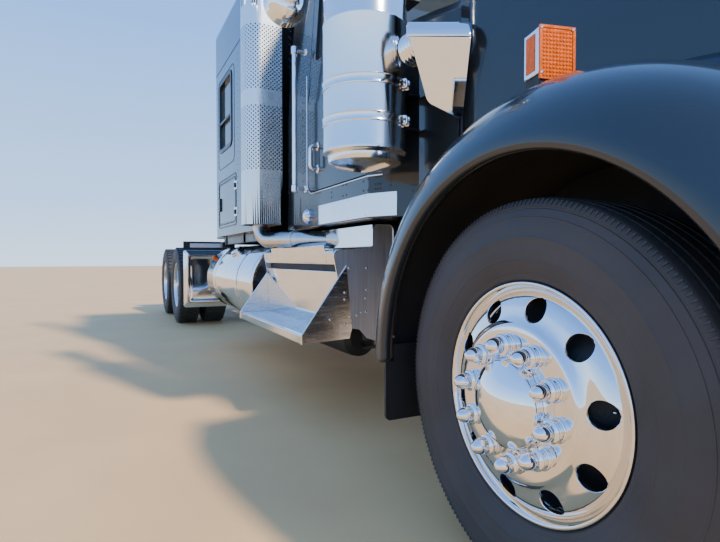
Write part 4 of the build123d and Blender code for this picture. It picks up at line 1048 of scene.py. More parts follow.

# Doors
# Painted aluminium skins, riveted at their edges, on exposed chrome hinges.
# Each has a chromed pull on a thin black plate, which is painted shade standing for the pull's recess, and a
# chromed mirror with a round wide-angle one under it.
dress("hinges", bright_chrome)
door_face_y = 0.9195
pull_x = behind(1.90)
pull_low, pull_high = 1.398, 1.532
mirror_x = behind(1.500)
round_mirror_z = 2.125
for side_name, side in side_names:
    dress(f"door_{side_name}", slate_paint)
    body = f"door_{side_name}"
    face_y = side * door_face_y
    pull = tube([(pull_x, face_y, pull_low), (pull_x, side * 0.966, pull_low),
                 (pull_x, side * 0.966, pull_high), (pull_x, face_y, pull_high)], 0.0125, 0.022, sides=18)
    feet = [turned([(0.0, 0.0), (0.026, 0.0), (0.026, 0.004), (0.020, 0.008), (0.0, 0.009)],
                   (pull_x, face_y, z), "Y", 28, side) for z in (pull_low, pull_high)]
    piece(f"door_pull_{side_name}", [pull] + feet, bright_chrome, body, smooth=45)
    # Thin black plate behind the pull: painted shade of the recess the pull sits in.
    plate = slab(behind(1.930), behind(1.868), face_y, side * 0.9215, 1.378, 1.552)
    piece(f"door_pull_plate_{side_name}", [plate], frame_black, body, bevel=0.0008)
    edge_rivets = [((behind(2.030), face_y, 1.38 + 0.055 * index), outward[side_name]) for index in range(11)]
    edge_rivets += [((behind(1.275), face_y, 1.36 + 0.055 * index), outward[side_name])
                    for index in range(10)]
    repeated(f"door_rivets_{side_name}", rivet_head, edge_rivets, slate_paint, body, size=0.8)
    slot = f"mirrors_{side_name}"
    dress(slot, bright_chrome)
    mirror_y = side * 1.250
    glass = rounded_box(mirror_y - 0.088, mirror_y + 0.088, 2.258, 2.632, 0.018)
    panes = [prism(glass, mirror_x - 0.0522, mirror_x - 0.0502, "X"),
             turned([(0.0, -0.0290), (0.098, -0.0290), (0.098, -0.0270)],
                    (mirror_x, mirror_y, round_mirror_z), "X", 64)]
    piece(f"mirror_glass_{side_name}", panes, polished_sheet, body)
    bowl = turned([(0.1055, 0.020), (0.1055, 0.0290), (0.101, 0.040), (0.088, 0.056), (0.066, 0.068),
                   (0.034, 0.075), (0.0, 0.076)], (mirror_x, mirror_y, round_mirror_z), "X", 72)
    piece(f"mirror_bowl_{side_name}", [bowl], bright_chrome, body, smooth=50)

# Roof trim
# A painted sheet visor over the windscreen, five amber marker lamps on chromed bases, and two chromed
# trumpet horns, all screwed to the cab's roof.
visor = prism([(behind(1.39), 2.545), (behind(1.17), 2.470), (behind(1.168), 2.482), (behind(1.40), 2.640),
               (behind(1.47), 2.700), (behind(1.475), 2.692)], -0.760, 0.760, "Y")
piece("sun_visor", [visor], slate_paint, "frame", bevel=0.0015, replaces=("roof_trim",))
cab_roof_z = 3.020
marker_places = [(behind(1.900), y, cab_roof_z) for y in (-0.620, -0.320, 0.0, 0.320, 0.620)]
marker_bases = [turned([(0, 0), (0.035, 0), (0.035, 0.012), (0.029, 0.016), (0, 0.016)], spot, "Z", 36)
                for spot in marker_places]
piece("marker_bases", marker_bases, bright_chrome, "frame")
marker_lenses = [turned([(0.028, 0.0155), (0.0275, 0.036), (0.022, 0.052), (0.012, 0.060), (0, 0.062)], spot,
                        "Z", 36)
                 for spot in marker_places]
piece("marker_lenses", marker_lenses, amber_lens, "frame", smooth=40)
horn_back = behind(2.300)
horn_profile = [(0, 0), (0.030, 0.002), (0.034, 0.006), (0.034, 0.054), (0.030, 0.060), (0.018, 0.080),
                (0.020, 0.240), (0.024, 0.380), (0.030, 0.460), (0.042, 0.520), (0.060, 0.560),
                (0.076, 0.580), (0.078, 0.588), (0.076, 0.592), (0.070, 0.588), (0.050, 0.562),
                (0.034, 0.520), (0, 0.500)]
for side_name, side in side_names:
    horn_y = side * 0.470
    horn = turned(horn_profile, (horn_back, horn_y, cab_roof_z + 0.100), "X", 64)
    feet = [slab(horn_back + along - 0.012, horn_back + along + 0.012, horn_y - 0.015, horn_y + 0.015,
                 cab_roof_z, cab_roof_z + 0.080) for along in (0.030, 0.400)]
    piece(f"air_horn_{side_name}", [horn] + feet, bright_chrome, "frame", smooth=40)

# Interior
# Dark moulded dash, steering wheel, seats and bunk, seen through the glass.
# They keep the forms of the solids.
cabin_grey = finish_of("cabin_grey", (0.09, 0.09, 0.095), roughness=0.8, scale=20, mottle=0.2, bump=0.5,
                       bump_scale=300)
dress("interior", cabin_grey)

# Grab rails
# Chromed tubes to climb in by, upright behind the doors.
# Each is held off the cab's side by two cast standoffs with round feet.
grab_x = behind(2.096)
for side_name, side in side_names:
    grab_y = side * 0.995
    foot_y = side * 0.9215
    rail = tube([(grab_x, grab_y, 1.286), (grab_x, grab_y, 2.171)], 0.0160, 0.01, sides=20)
    holders = []
    for z in (1.302, 2.155):
        holders.append(tube([(grab_x, foot_y, z), (grab_x, grab_y, z)], 0.0105, 0.01, sides=16))
        holders.append(turned([(0, -0.024), (0.016, -0.024), (0.0215, -0.018), (0.0215, 0.018),
                               (0.016, 0.024), (0, 0.024)], (grab_x, grab_y, z), "Z", 22))
        holders.append(turned([(0.0, 0.0), (0.024, 0.0), (0.022, 0.006), (0.0, 0.008)], (grab_x, foot_y, z),
                              "Y", 22, side))
    piece(f"grab_rail_{side_name}", [rail] + holders, bright_chrome, "frame", smooth=40,
          replaces=("grab_handles",) if side == 1 else ())

# Exhaust stacks
# Chromed pipes above black mufflers, each muffler inside a punched stainless guard that is flat in front.
# Satin steel elbows feed them from below the cab, held by band clamps.
stack_x = behind(2.60)
stack_y = 1.07
guard_low, guard_high = 1.10, 2.74
guard_reach = 0.130
guard_corner = 0.100
guard_inboard = 0.115
punch_pitch = 0.0265
punch_radius = 0.0056
punch_zones = ((1.465, 17), (2.010, 17))
satin_steel = finish_of("satin_steel", (0.62, 0.60, 0.57), metallic=1.0, roughness=0.26, spread=0.08,
                        mottle=0.08, scale=9, bump=0.05, bump_scale=60)
guard_steel = finish_of("guard_steel", (0.86, 0.83, 0.79), metallic=1.0, roughness=0.24, spread=0.05,
                        mottle=0.03, scale=4, bump=0.02, bump_scale=8)


def flat_run(start, end, count, facing):
    """Upright strips on a flat side of a guard: two (forward, outboard) points, facing angle and no bend."""
    points = [(start[0] + (end[0] - start[0]) * k / count, start[1] + (end[1] - start[1]) * k / count)
              for k in range(count + 1)]
    return [(a, b, facing, None) for a, b in zip(points, points[1:])]


def bend_run(forward, first):
    """The same round a corner of the guard, whose middle lies this far forward of the pipe."""
    angles = [radians(first + 9 * k) for k in range(11)]
    points = [(forward + guard_corner * cos(a), guard_reach - guard_corner + guard_corner * sin(a))
              for a in angles]
    return [(p, q, (a + b) / 2, guard_corner) for p, q, a, b in zip(points, points[1:], angles, angles[1:])]


def upright(start, end, low, high, side):
    """One flat strip of a guard."""
    foot = [(stack_x + ahead, side * (stack_y + out)) for ahead, out in (start, end)]
    return [(*foot[0], low), (*foot[1], low), (*foot[1], high), (*foot[0], high)], [(0, 1, 2, 3)]


def punched_tile(width, height, bend):
    """One punched cell, facing up its own Z, with its rim turned inwards."""
    thirds = (-1, -1 / 3, 1 / 3)
    right, top = width / 2, height / 2
    corners = [(right * t, -top) for t in thirds] + [(right, top * t) for t in thirds]
    corners += [(-right * t, top) for t in thirds] + [(-right, -top * t) for t in thirds]
    rim = [(a / hypot(a, b) * punch_radius, b / hypot(a, b) * punch_radius) for a, b in corners]
    rings = [[(a, b, bend * (cos(a / bend) - 1) if bend else 0.0) for a, b in ring]
             for ring in (corners, rim)]
    rings.append([(a, b, z - 0.0016) for a, b, z in rings[1]])
    return loft(rings, capped=False)


guard_straight = guard_reach - guard_corner
guard_strips = flat_run((guard_reach, -guard_inboard), (guard_reach, guard_straight), 10, 0)
guard_strips += bend_run(guard_straight, 0)
guard_strips += flat_run((guard_straight, guard_reach), (-guard_straight, guard_reach), 4, pi / 2)
guard_strips += bend_run(-guard_straight, 90)
# forward and outboard of the pipe's middle
guard_back = [(-guard_reach, guard_straight), (-guard_reach, -guard_inboard), (guard_reach, -guard_inboard)]
guard_top = [(0.129, -0.114), (0.129, 0.03), (0.10, 0.10), (0.03, 0.129), (-0.03, 0.129), (-0.10, 0.10),
             (-0.129, 0.03), (-0.129, -0.114)]
for side_name, side in side_names:
    skin = []
    tiles = {None: [], guard_corner: []}
    for number, (start, end, facing, bend) in enumerate(guard_strips):
        half = punch_pitch / 2 if number % 2 else 0.0
        levels = [guard_low]
        for low, rows in punch_zones:
            levels += [low + half, low + punch_pitch * rows - half]
        levels.append(guard_high)
        for low, high in zip(levels[0::2], levels[1::2]):
            skin.append(upright(start, end, low, high, side))
        if bend:
            ahead = (guard_straight if facing < pi / 2 else -guard_straight) + bend * cos(facing)
            out = guard_straight + bend * sin(facing)
        else:
            ahead, out = (start[0] + end[0]) / 2, (start[1] + end[1]) / 2
        for low, rows in punch_zones:
            for line in range(rows - (1 if half else 0)):
                height = low + half + punch_pitch * (line + 0.5)
                tiles[bend].append(((stack_x + ahead, side * (stack_y + out), height),
                                    (pi / 2, 0, side * facing + pi / 2)))
    skin += [upright(start, end, guard_low, guard_high, side)
             for start, end in zip(guard_back, guard_back[1:])]
    piece(f"stack_guard_{side_name}", skin, guard_steel, "frame", smooth=30,
          replaces=("exhaust_stacks",) if side == 1 else ())
    for bend, places in tiles.items():
        width = 0.0157 if bend else 0.0146
        kind = "rounded" if bend else "flat"
        repeated(f"guard_punchings_{kind}_{side_name}", punched_tile(width, punch_pitch, bend), places,
                 guard_steel, "frame", smooth=30)
    stack_foot = (stack_x, side * stack_y, 0)
    muffler = turned([(0.0765, 1.14), (0.100, 1.30), (0.100, 2.66), (0.0765, 2.70)], stack_foot, "Z", 48)
    piece(f"stack_muffler_{side_name}", [muffler], matte_black, "frame", smooth=40)
    pipe = turned([(0.0765, 2.70), (0.080, 2.72), (0.080, 3.90), (0.083, 3.905), (0.083, 3.935),
                   (0.080, 3.940), (0.076, 3.935), (0.076, 3.30)], stack_foot, "Z", 64)
    collar = turned([(0.080, 2.742), (0.112, 2.742), (0.116, 2.748), (0.116, 2.760), (0.088, 2.772),
                     (0.080, 2.790)],
                    stack_foot, "Z", 64)
    piece(f"stack_pipe_{side_name}", [pipe, collar], bright_chrome, "frame", smooth=40)
    top = prism([(stack_x + ahead, side * (stack_y + out)) for ahead, out in guard_top], 2.732, 2.738, "Z")
    piece(f"stack_guard_top_{side_name}", [top], guard_steel, "frame")
    route = [(stack_x, side * stack_y, 1.16), (stack_x, side * stack_y, 0.994),
             (behind(2.25), side * 0.915, 0.988), (behind(2.08), side * 0.76, 0.984)]
    elbow = tube(route, 0.0575, 0.105, sides=32, steps=12, capped=False)
    piece(f"stack_elbow_{side_name}", [elbow], satin_steel, "frame", smooth=50)
    lead = (Vector(route[2]) - Vector(route[1])).normalized()
    clamp_at = Vector(route[2]) - lead * 0.035
    band = tube([clamp_at - lead * 0.014, clamp_at + lead * 0.014], 0.0605, 0.01, sides=32)
    bolt = tube([clamp_at + Vector((0, 0, 0.064)), clamp_at + Vector((0, side * 0.03, 0.074))], 0.006, 0.01,
                sides=8)
    piece(f"elbow_clamp_{side_name}", [band, bolt], satin_steel, "frame")

# Air cleaners
# Polished stainless canisters beside the hood's rear end, on black brackets from the cab's side.
# Two bands with bolted clasps hold each, and the dish below can be taken off.
canister_x = behind(1.027)
canister_y = 1.052
widen = 0.010
canister_steel = finish_of("canister_steel", (0.88, 0.86, 0.83), metallic=1.0, roughness=0.14, spread=0.03,
                           mottle=0.03, scale=5, stretch=(1, 1, 0.25), bump=0.02, bump_scale=16)
# radius, height
canister_wall = [(0.0, 1.236), (0.030, 1.240), (0.080, 1.250), (0.115, 1.257), (0.136, 1.264), (0.146, 1.273),
                 (0.149, 1.284), (0.1500, 1.300), (0.1560, 1.306), (0.1660, 1.308), (0.1710, 1.313),
                 (0.1715, 1.322), (0.1700, 1.328), (0.1700, 1.842), (0.1712, 1.845), (0.1712, 1.852),
                 (0.1700, 1.855), (0.1700, 2.010), (0.1660, 2.050), (0.1500, 2.088), (0.1150, 2.112),
                 (0.0900, 2.122), (0.0900, 2.180), (0.1820, 2.192), (0.1900, 2.200), (0.1905, 2.214),
                 (0.1880, 2.290), (0.1800, 2.312), (0.1300, 2.338), (0.0600, 2.348), (0.0, 2.350)]
canister_wall = [(radius + (widen if 0.14 < radius and z < 2.06 else 0), z) for radius, z in canister_wall]
band_section = [(0.1702, 0), (0.1735, 0.001), (0.1740, 0.004), (0.1728, 0.007), (0.1728, 0.033),
                (0.1740, 0.036), (0.1735, 0.039), (0.1702, 0.040)]
for side_name, side in side_names:
    where = Vector((canister_x, side * canister_y, 0))
    piece(f"air_canister_{side_name}", [turned(canister_wall, where, "Z", 144)], canister_steel, "frame",
          smooth=28, replaces=("air_cleaners",) if side == 1 else ())
    bands = []
    clasps = []
    inward = Vector((0.79, -side * 0.61, 0))
    sideways = Vector((side * 0.61, 0.79, 0))
    reach = inward * 0.018
    drop = Vector((0, 0, 0.016))
    for low in (1.417, 1.567):
        bands.append(turned([(radius + widen, low + rise) for radius, rise in band_section], where, "Z", 144))
        for offset in (-0.016, 0.016):
            base = where + inward * (0.172 + widen) + sideways * offset + Vector((0, 0, low + 0.020))
            clasps.append(tube([base - drop, base + reach - drop, base + reach + drop, base + drop], 0.0045,
                               0.007, sides=8, steps=4))
        for rise in (-0.009, 0.009):
            middle = where + inward * (0.184 + widen) + Vector((0, 0, low + 0.020 + rise))
            clasps.append(tube([middle - sideways * 0.030, middle + sideways * 0.030], 0.0042, 0.01, sides=8))
            clasps.append(tube([middle + sideways * 0.020, middle + sideways * 0.029], 0.0085, 0.01, sides=6))
    piece(f"canister_bands_{side_name}", bands, canister_steel, "frame", smooth=28)
    piece(f"canister_clasps_{side_name}", clasps, bright_chrome, "frame", smooth=40)
    brackets = [slab(canister_x - 0.05, canister_x + 0.05, side * 0.80, side * 0.905, z, z + 0.012)
                for z in (1.43, 1.58, 2.00)]
    piece(f"canister_brackets_{side_name}", brackets, chassis_black, "frame", bevel=0.002)
    latch = [slab(canister_x - 0.012, canister_x + 0.012, side * (canister_y + 0.02),
                  side * (canister_y + 0.05), 1.236, 1.262)]
    piece(f"canister_latch_{side_name}", latch, chassis_black, "frame", bevel=0.003)

# Intake shields
# Mirror-flat stainless plates ahead of the canisters, with a rolled top and one large rounded corner.
# Ribbed, chromed elbows join them to the canisters.
mirror_sheet = finish_of("mirror_sheet", (0.86, 0.865, 0.87), metallic=1.0, roughness=0.03, spread=0.015,
                         mottle=0.015, scale=3, bump=0.012, bump_scale=5)
shield_inner_station, shield_inner_y = 0.600, 0.815
shield_top_z = 1.700
shield_yaw = radians(26)
shield_lean = tan(radians(13))
# distance along the plate from its inner end, height
shield_corners = [(0.236, shield_top_z), (0.160, 1.470), (0.022, 1.408), (0.004, shield_top_z)]
roll_width = 0.248
roll_radius = 0.090
roll_corner = 0.045
roll_columns, roll_steps = 24, 12
shield_thickness = 0.003


def at_shield(along, back, z, side):
    """Point at a distance along a shield from its inner end, a distance behind its face, and a height."""
    station = shield_inner_station + along * sin(shield_yaw) + back * cos(shield_yaw)
    return behind(station), side * (shield_inner_y + along * cos(shield_yaw) - back * sin(shield_yaw)), z


def grid(rows):
    """Open sheet over rows of equally many points."""
    width = len(rows[0])
    verts = [point for row in rows for point in row]
    faces = [(base + k, base + k + 1, base + width + k + 1, base + width + k)
             for base in range(0, len(verts) - width, width) for k in range(width - 1)]
    return verts, faces


def thicken(thing, thickness):
    """Gives an open sheet its thickness, on the side away from its face."""
    sheet = thing.modifiers.new("sheet", "SOLIDIFY")
    sheet.thickness = thickness
    sheet.offset = -1


shield_outline = rounded(shield_corners, {1: 0.050, 2: 0.012}, 8)
for side_name, side in side_names:
    plate = loft([[at_shield(along, depth + (shield_top_z - z) * shield_lean, z, side)
                   for along, z in shield_outline] for depth in (0, shield_thickness)])
    piece(f"intake_shield_{side_name}", [plate], mirror_sheet, "frame", bevel=0.0008,
          replaces=("intake_shields",) if side == 1 else ())
    columns = []
    for index in range(roll_columns + 1):
        along = roll_width * index / roll_columns
        cut = min(min(along, (roll_width - along) * 2) / roll_corner, 1)
        share = 0.45 + 0.55 * (1 - (1 - cut) ** 2) ** 0.5
        angles = [radians(90 * share * step / roll_steps) for step in range(roll_steps + 1)]
        columns.append([at_shield(along, roll_radius * (1 - cos(angle)),
                                  shield_top_z + roll_radius * sin(angle), side)
                        for angle in angles])
    roll = piece(f"shield_roll_{side_name}", [grid(columns)], mirror_sheet, "frame",
                 smooth=60)
    if roll.data.polygons[0].normal.x < 0:
        roll.data.flip_normals()
    thicken(roll, shield_thickness)
    rings = []
    for index in range(6):
        start = 0.712 + index * 0.024
        rings.append(turned([(0.056, -start), (0.062, -start - 0.003), (0.0665, -start - 0.009),
                             (0.062, -start - 0.018), (0.056, -start - 0.024)],
                            (front_axle_x, side * 0.930, 1.715), "X", 48))
    piece(f"intake_elbow_{side_name}", rings, bright_chrome, "frame", smooth=50)

# Deck plate
# Aluminium tread plate, bolted across the rails behind the sleeper.
# Its raised bars lie crosswise to each other, row by row.
dress("deck_plate", brushed_aluminium)
bars = []
for row in range(24):
    for column in range(20):
        turn = pi / 4 if (row + column) % 2 else -pi / 4
        bars.append(((behind(5.43) + row * 0.0438, -0.40 + column * 0.042, 1.0172), (0, 0, turn)))
tread_bar = ([(-0.013, 0, 0), (-0.006, 0.0035, 0), (0.006, 0.0035, 0), (0.013, 0, 0), (0.006, -0.0035, 0),
              (-0.006, -0.0035, 0), (-0.006, 0, 0.0016), (0.006, 0, 0.0016)],
             [(0, 1, 6), (1, 2, 7, 6), (2, 3, 7), (3, 4, 7), (4, 5, 6, 7), (5, 0, 6)])
repeated("deck_tread", tread_bar, bars, brushed_aluminium, "frame", smooth=10)

# Quarter fenders
# Half-width fenders ahead of the first drive wheels, pressed from polished aluminium sheet.
# Each has a raised border round its panel, and hangs on a tube from the frame.
quarter_x = behind(5.765)
# distance in from the edge, how far forward the sheet stands there, radius of its corners
quarter_steps = ((0.0, 0.0, 0.030), (0.0, 0.0145, 0.030), (0.005, 0.0180, 0.028), (0.082, 0.0180, 0.026),
                 (0.089, 0.0165, 0.025), (0.094, 0.0115, 0.024), (0.100, 0.0085, 0.023),
                 (0.112, 0.0080, 0.022), (0.18, 0.0095, 0.012), (0.262, 0.0100, 0.006))
for side_name, side in side_names:
    rings = []
    for inset, ahead, corner in quarter_steps:
        outline = rounded_box(0.640 + inset, 1.180 - inset, 0.250 + inset, 0.970 - inset, corner)
        rings.append([(quarter_x - 0.004 + ahead, side * y, z) for y, z in outline])
    arm = tube([(quarter_x, side * 0.432, 0.900), (quarter_x, side * 0.700, 0.900)], 0.020, 0.01)
    piece(f"quarter_fender_{side_name}", [loft(rings)], polished_sheet, "frame", smooth=50,
          replaces=("quarter_fenders",) if side == 1 else ())
    piece(f"quarter_fender_arm_{side_name}", [arm], chassis_black, "frame")

# Mud flaps
# Black rubber sheets on spring bars behind the drive wheels, and short flaps over the quarter fenders.
# A bright strip, which is left blank, is screwed to each short flap.
flap_rubber = finish_of("flap_rubber", (0.014, 0.014, 0.014), roughness=0.55, scale=8, mottle=0.2, bump=0.3,
                        bump_scale=180)
dress("mud_flaps", flap_rubber)
blank_white = finish_of("blank_white", (0.72, 0.73, 0.74), metallic=0.2, roughness=0.35, mottle=0.04,
                        bump=0.05)
for side_name, side in side_names:
    strip = slab(quarter_x + 0.0062, quarter_x + 0.0085, side * 0.72, side * 1.10, 1.004, 1.056)
    piece(f"flap_strip_{side_name}", [strip], blank_white, "frame", bevel=0.001)
    screws = [((quarter_x + 0.0085, side * y, 1.03), outward["front"]) for y in (0.735, 0.91, 1.085)]
    repeated(f"flap_strip_screws_{side_name}", rivet_head, screws, bright_chrome, "frame")

# Fifth wheel
# Cast steel coupling plate, greased and black, with a slot for the trailer's pin.
# It rocks on two trunnions between brackets that are bolted to the frame.
greased_black = finish_of("greased_black", (0.020, 0.018, 0.016), metallic=0.5, roughness=0.35, spread=0.15,
                          scale=7, mottle=0.3, bump=0.4, bump_scale=60)
dress("fifth_wheel_base", chassis_black)
dress("fifth_wheel_plate", greased_black)

# Bumper
# Deep bumper of chromed steel, swept back at its ends and bolted to the frame's front.
# Two round fog lamps are set into it.
dress("bumper", bright_chrome)
fog_lenses = [turned([(0.0, 0.0), (0.029, 0.0), (0.031, -0.004), (0.031, -0.010)], (behind(-0.848), y, 0.560),
                     "X", 40)
              for y in (-0.380, 0.380)]
piece("fog_lenses", fog_lenses, polished_sheet, "frame", smooth=40)

# Hood
# One long moulded hood, painted like the cab, that tilts forward on two arms with pivots behind the bumper.
# A painted cowl stays on the cab, between the hood's rear edge and the windscreen.
hood_rear_half, hood_front_half = 0.790, 0.500
hood_rear_station, hood_front_station = 0.700, -0.660
hood_rear_top, hood_front_top = 2.020, 1.690
hood_rear_low, hood_front_low = 1.080, 0.800
hood_shoulder = 0.135
hood_crown = 0.022
hood_thickness = 0.010
grille_half, grille_low, grille_high = 0.424, 0.796, 1.554


def hood_share(station):
    """How far along the hood a station lies: 0 at its front end, 1 at its rear end."""
    return (station - hood_front_station) / (hood_rear_station - hood_front_station)


def hood_half_at(station):
    """Half width of the hood's flat side at a station behind the front axle."""
    return hood_front_half + (hood_rear_half - hood_front_half) * hood_share(station)


def hood_low_at(station):
    """Height of the hood side's lower edge at a station behind the front axle."""
    return hood_front_low + (hood_rear_low - hood_front_low) * hood_share(station)


rows = []
for step in range(17):
    share = step / 16
    station = hood_rear_station + (hood_front_station - hood_rear_station) * share
    half = hood_half_at(station)
    top = hood_rear_top + (hood_front_top - hood_rear_top) * share
    low = hood_low_at(station)
    quarter = [(half, low + (top - hood_shoulder - low) * k / 6) for k in range(6)]
    for k in range(11):
        angle = radians(9 * k)
        quarter.append((half - hood_shoulder * (1 - cos(angle)), top - hood_shoulder * (1 - sin(angle))))
    inside = half - hood_shoulder
    quarter += [(inside * (1 - k / 5), top + hood_crown * (1 - (1 - k / 5) ** 2)) for k in range(1, 6)]
    loop = quarter + [(-y, z) for y, z in reversed(quarter[:-1])]
    rows.append([(behind(station), y, z) for y, z in loop])
front_half, front_height = rows[-1][0][1], hood_front_top + hood_crown - hood_front_low
for inset, ahead in ((0.25, 0.010), (0.6, 0.016), (1.0, 0.016)):
    ring = []
    for x, y, z in rows[16]:
        inner_y = y * grille_half / front_half
        inner_z = grille_low + (z - hood_front_low) * (grille_high - grille_low) / front_height
        ring.append((x + ahead, y + (inner_y - y) * inset, z + (inner_z - z) * inset))
    rows.append(ring)
hood = piece("hood_skin", [grid(rows)], slate_paint, "hood", smooth=40,
             replaces=("hood_shell",))
top_face = max(hood.data.polygons, key=lambda face: face.center.z)
if top_face.normal.z < 0:
    hood.data.flip_normals()
thicken(hood, hood_thickness)
hood_pivot_x, hood_pivot_z = behind(-0.800), 0.600
arm_outline = [(hood_pivot_x - 0.145, 0.870), (hood_pivot_x - 0.145, 0.708), (hood_pivot_x - 0.010, 0.622),
               (hood_pivot_x + 0.020, 0.600), (hood_pivot_x - 0.012, 0.578), (hood_pivot_x - 0.185, 0.676),
               (hood_pivot_x - 0.185, 0.870)]
arms = []
for side in (-1, 1):
    arms.append(prism(arm_outline, *sorted((side * 0.464, side * 0.493)), "Y"))
    arms.append(turned([(0.0125, 0.460), (0.026, 0.460), (0.026, 0.493), (0.0125, 0.493), (0.0125, 0.460)],
                       (hood_pivot_x, 0, hood_pivot_z), "Y", 32, side))
piece("hood_pivot_arms", arms, chassis_black, "hood", bevel=0.002)
seam = [(behind(0.690), y, z) for x, y, z in rows[0]]
seal = [tube([seam[0], seam[5]], 0.006, 0.01, sides=8), tube([seam[-1], seam[-6]], 0.006, 0.01, sides=8)]
piece("hood_rear_seal", seal, matte_black, "hood", smooth=50)
# station behind the front axle, half width and height there
cowl_plan = ((0.712, 0.637, 1.985), (0.780, 0.673, 1.998), (0.980, 0.779, 1.985), (1.160, 0.875, 1.962))
cowl_low = 1.745
cowl_chamfer = 0.060
cowl_ends = []
for station, half, high in cowl_plan:
    inner, under = half - cowl_chamfer, high - cowl_chamfer
    outline = ((-half, cowl_low), (half, cowl_low), (half, under), (inner, high), (-inner, high),
               (-half, under))
    cowl_ends.append([(behind(station), y, z) for y, z in outline])
cowl = [loft(list(pair)) for pair in zip(cowl_ends, cowl_ends[1:])]
piece("cowl", cowl, slate_paint, "frame", smooth=30, bevel=0.006)

# Fenders
# Moulded with the hood and painted like it: a rolled outer edge over the wheel, a full round crown, then
# a fillet up into the hood's side. Each ends at a hem behind the wheel and at the bumper in front.
arch_z = 0.515
crown_radius = 0.826
crown_y = 0.920
fillet_radius = 0.085
hem_z = 0.500
front_edge_x = behind(-0.838)
front_cut_z = 0.763
hood_inner_y = 0.803
arch_first, arch_last, arch_steps = -16.0, 200.0, 108
# radius about the arch's middle, distance from the truck's middle
fender_section = [(0.607, 1.150), (0.6035, 1.176), (0.6035, 1.190), (0.609, 1.1965), (0.622, 1.1990),
                  (0.645, 1.1965), (0.675, 1.1870), (0.708, 1.1700), (0.742, 1.1440), (0.773, 1.1090),
                  (0.797, 1.0660), (0.812, 1.0200), (0.820, 0.9700), (0.824, crown_y)]


def in_front(face):
    """Whether a face of a fender lies ahead of the wheel."""
    return face.calc_center_median().x > front_axle_x + 0.3


for side_name, side in side_names:
    rows = []
    for step in range(arch_steps + 1):
        angle = radians(arch_first + (arch_last - arch_first) * step / arch_steps)
        station = -fender_section[-1][0] * cos(angle)
        foot = hood_half_at(min(max(station, hood_front_station), hood_rear_station)) + fillet_radius
        section = fender_section + [(crown_radius, crown_y + (foot - crown_y) * t)
                                    for t in (0.25, 0.5, 0.75, 1.0)]
        for t in (22.5, 45, 67.5, 90):
            into_hood = 0.004 if t == 90 else 0
            section.append((crown_radius + fillet_radius * (1 - cos(radians(t))),
                            foot - fillet_radius * sin(radians(t)) - into_hood))
        rows.append([(front_axle_x + radius * cos(angle), side * y, arch_z + radius * sin(angle))
                     for radius, y in section])
    shape = bpy.data.meshes.new(f"fender_sheet_{side_name}")
    verts, faces = grid(rows)
    shape.from_pydata(verts, [], faces)
    trim = bmesh.new()
    trim.from_mesh(shape)
    for spot, away in (((0, 0, hem_z), (0, 0, -1)), ((front_edge_x, 0, 0), (1, 0, 0))):
        bmesh.ops.bisect_plane(trim, geom=trim.verts[:] + trim.edges[:] + trim.faces[:], plane_co=spot,
                               plane_no=away, clear_outer=True)
    ahead = [face for face in trim.faces if in_front(face)]
    ahead_verts = list({vert for face in ahead for vert in face.verts})
    ahead_edges = list({edge for face in ahead for edge in face.edges})
    bmesh.ops.bisect_plane(trim, geom=ahead_verts + ahead_edges + ahead, plane_co=(0, 0, front_cut_z),
                           plane_no=(0, 0, 1))
    low_front = [face for face in trim.faces if in_front(face) and face.calc_center_median().z < front_cut_z]
    bmesh.ops.delete(trim, geom=low_front, context="FACES")
    for face in list(trim.faces):
        middle = face.calc_center_median()
        if middle.x < behind(hood_rear_station) and abs(middle.y) < hood_inner_y:
            trim.faces.remove(face)
    bmesh.ops.remove_doubles(trim, verts=trim.verts, dist=0.0002)
    bmesh.ops.recalc_face_normals(trim, faces=trim.faces)
    if max(trim.faces, key=lambda face: face.calc_center_median().z).normal.z < 0:
        bmesh.ops.reverse_faces(trim, faces=trim.faces)
    trim.to_mesh(shape)
    trim.free()
    shape.polygons.foreach_set("use_smooth", [True] * len(shape.polygons))
    shape.materials.append(slate_paint)
    fender = bpy.data.objects.new(f"fender_{side_name}", shape)
    bpy.context.collection.objects.link(fender)
    thicken(fender, 0.006)
    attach(fender, "hood")
    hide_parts("fenders")

# Fender liners and front flaps
# Dull black moulded liners over the front tyres, with matt black splash panels on the hood's sides between
# them, which also lay painted shade over the hood's glossy flanks inside the arches. Rubber flaps hang from
# the fenders' rear ends.
liner_black = finish_of("liner_black", (0.010, 0.010, 0.011), roughness=0.7, scale=6, mottle=0.2, bump=0.4,
                        bump_scale=90)
dress("fender_liners", liner_black)
dress("front_flaps", flap_rubber)
splash_radius, splash_gap = 0.790, 0.004
splash_stations = []
for step in range(41):
    station = hood_front_station + (hood_rear_station - hood_front_station) * step / 40
    high = arch_z + (splash_radius ** 2 - station ** 2) ** 0.5
    low = hood_low_at(station) + splash_gap
    if high > low + 0.010:
        splash_stations.append((station, low, high))
# Matt black panels on the hood's sides inside the arches: partly splash panels, partly painted shade over the
# glossy paint there.
for side_name, side in side_names:
    rings = []
    for station, low, high in splash_stations:
        outer, inner = hood_half_at(station) + splash_gap, hood_half_at(station) - 0.001
        rings.append([(behind(station), side * y, z) for y, z in
                      ((outer, low), (outer, high), (inner, high), (inner, low))])
    piece(f"splash_panel_{side_name}", [loft(rings)], liner_black, "hood")

# Grille
# Chromed surround with upright bars, riding on the hood's front.
# A dark screen of woven wire stands close behind the bars.
dress("grille", bright_chrome)
screen_black = finish_of("screen_black", (0.012, 0.012, 0.013), metallic=0.3, roughness=0.5,
                         stretch=(1, 60, 60), bump=0.6, bump_scale=6)
screen = slab(behind(-0.6615), behind(-0.6650), -0.400, 0.400, 0.820, 1.530)
piece("grille_screen", [screen], screen_black, "hood")
grille_x = behind(-0.700)
rim_loop = [(grille_x, y, z) for y, z in rounded_box(-0.412, 0.412, 0.808, 1.542, 0.050, 8)]
grille_rim = tube(rim_loop + rim_loop[:1], 0.0070, 0.0005, sides=10, steps=1)
piece("grille_rim", [grille_rim], bright_chrome, "hood", smooth=50)

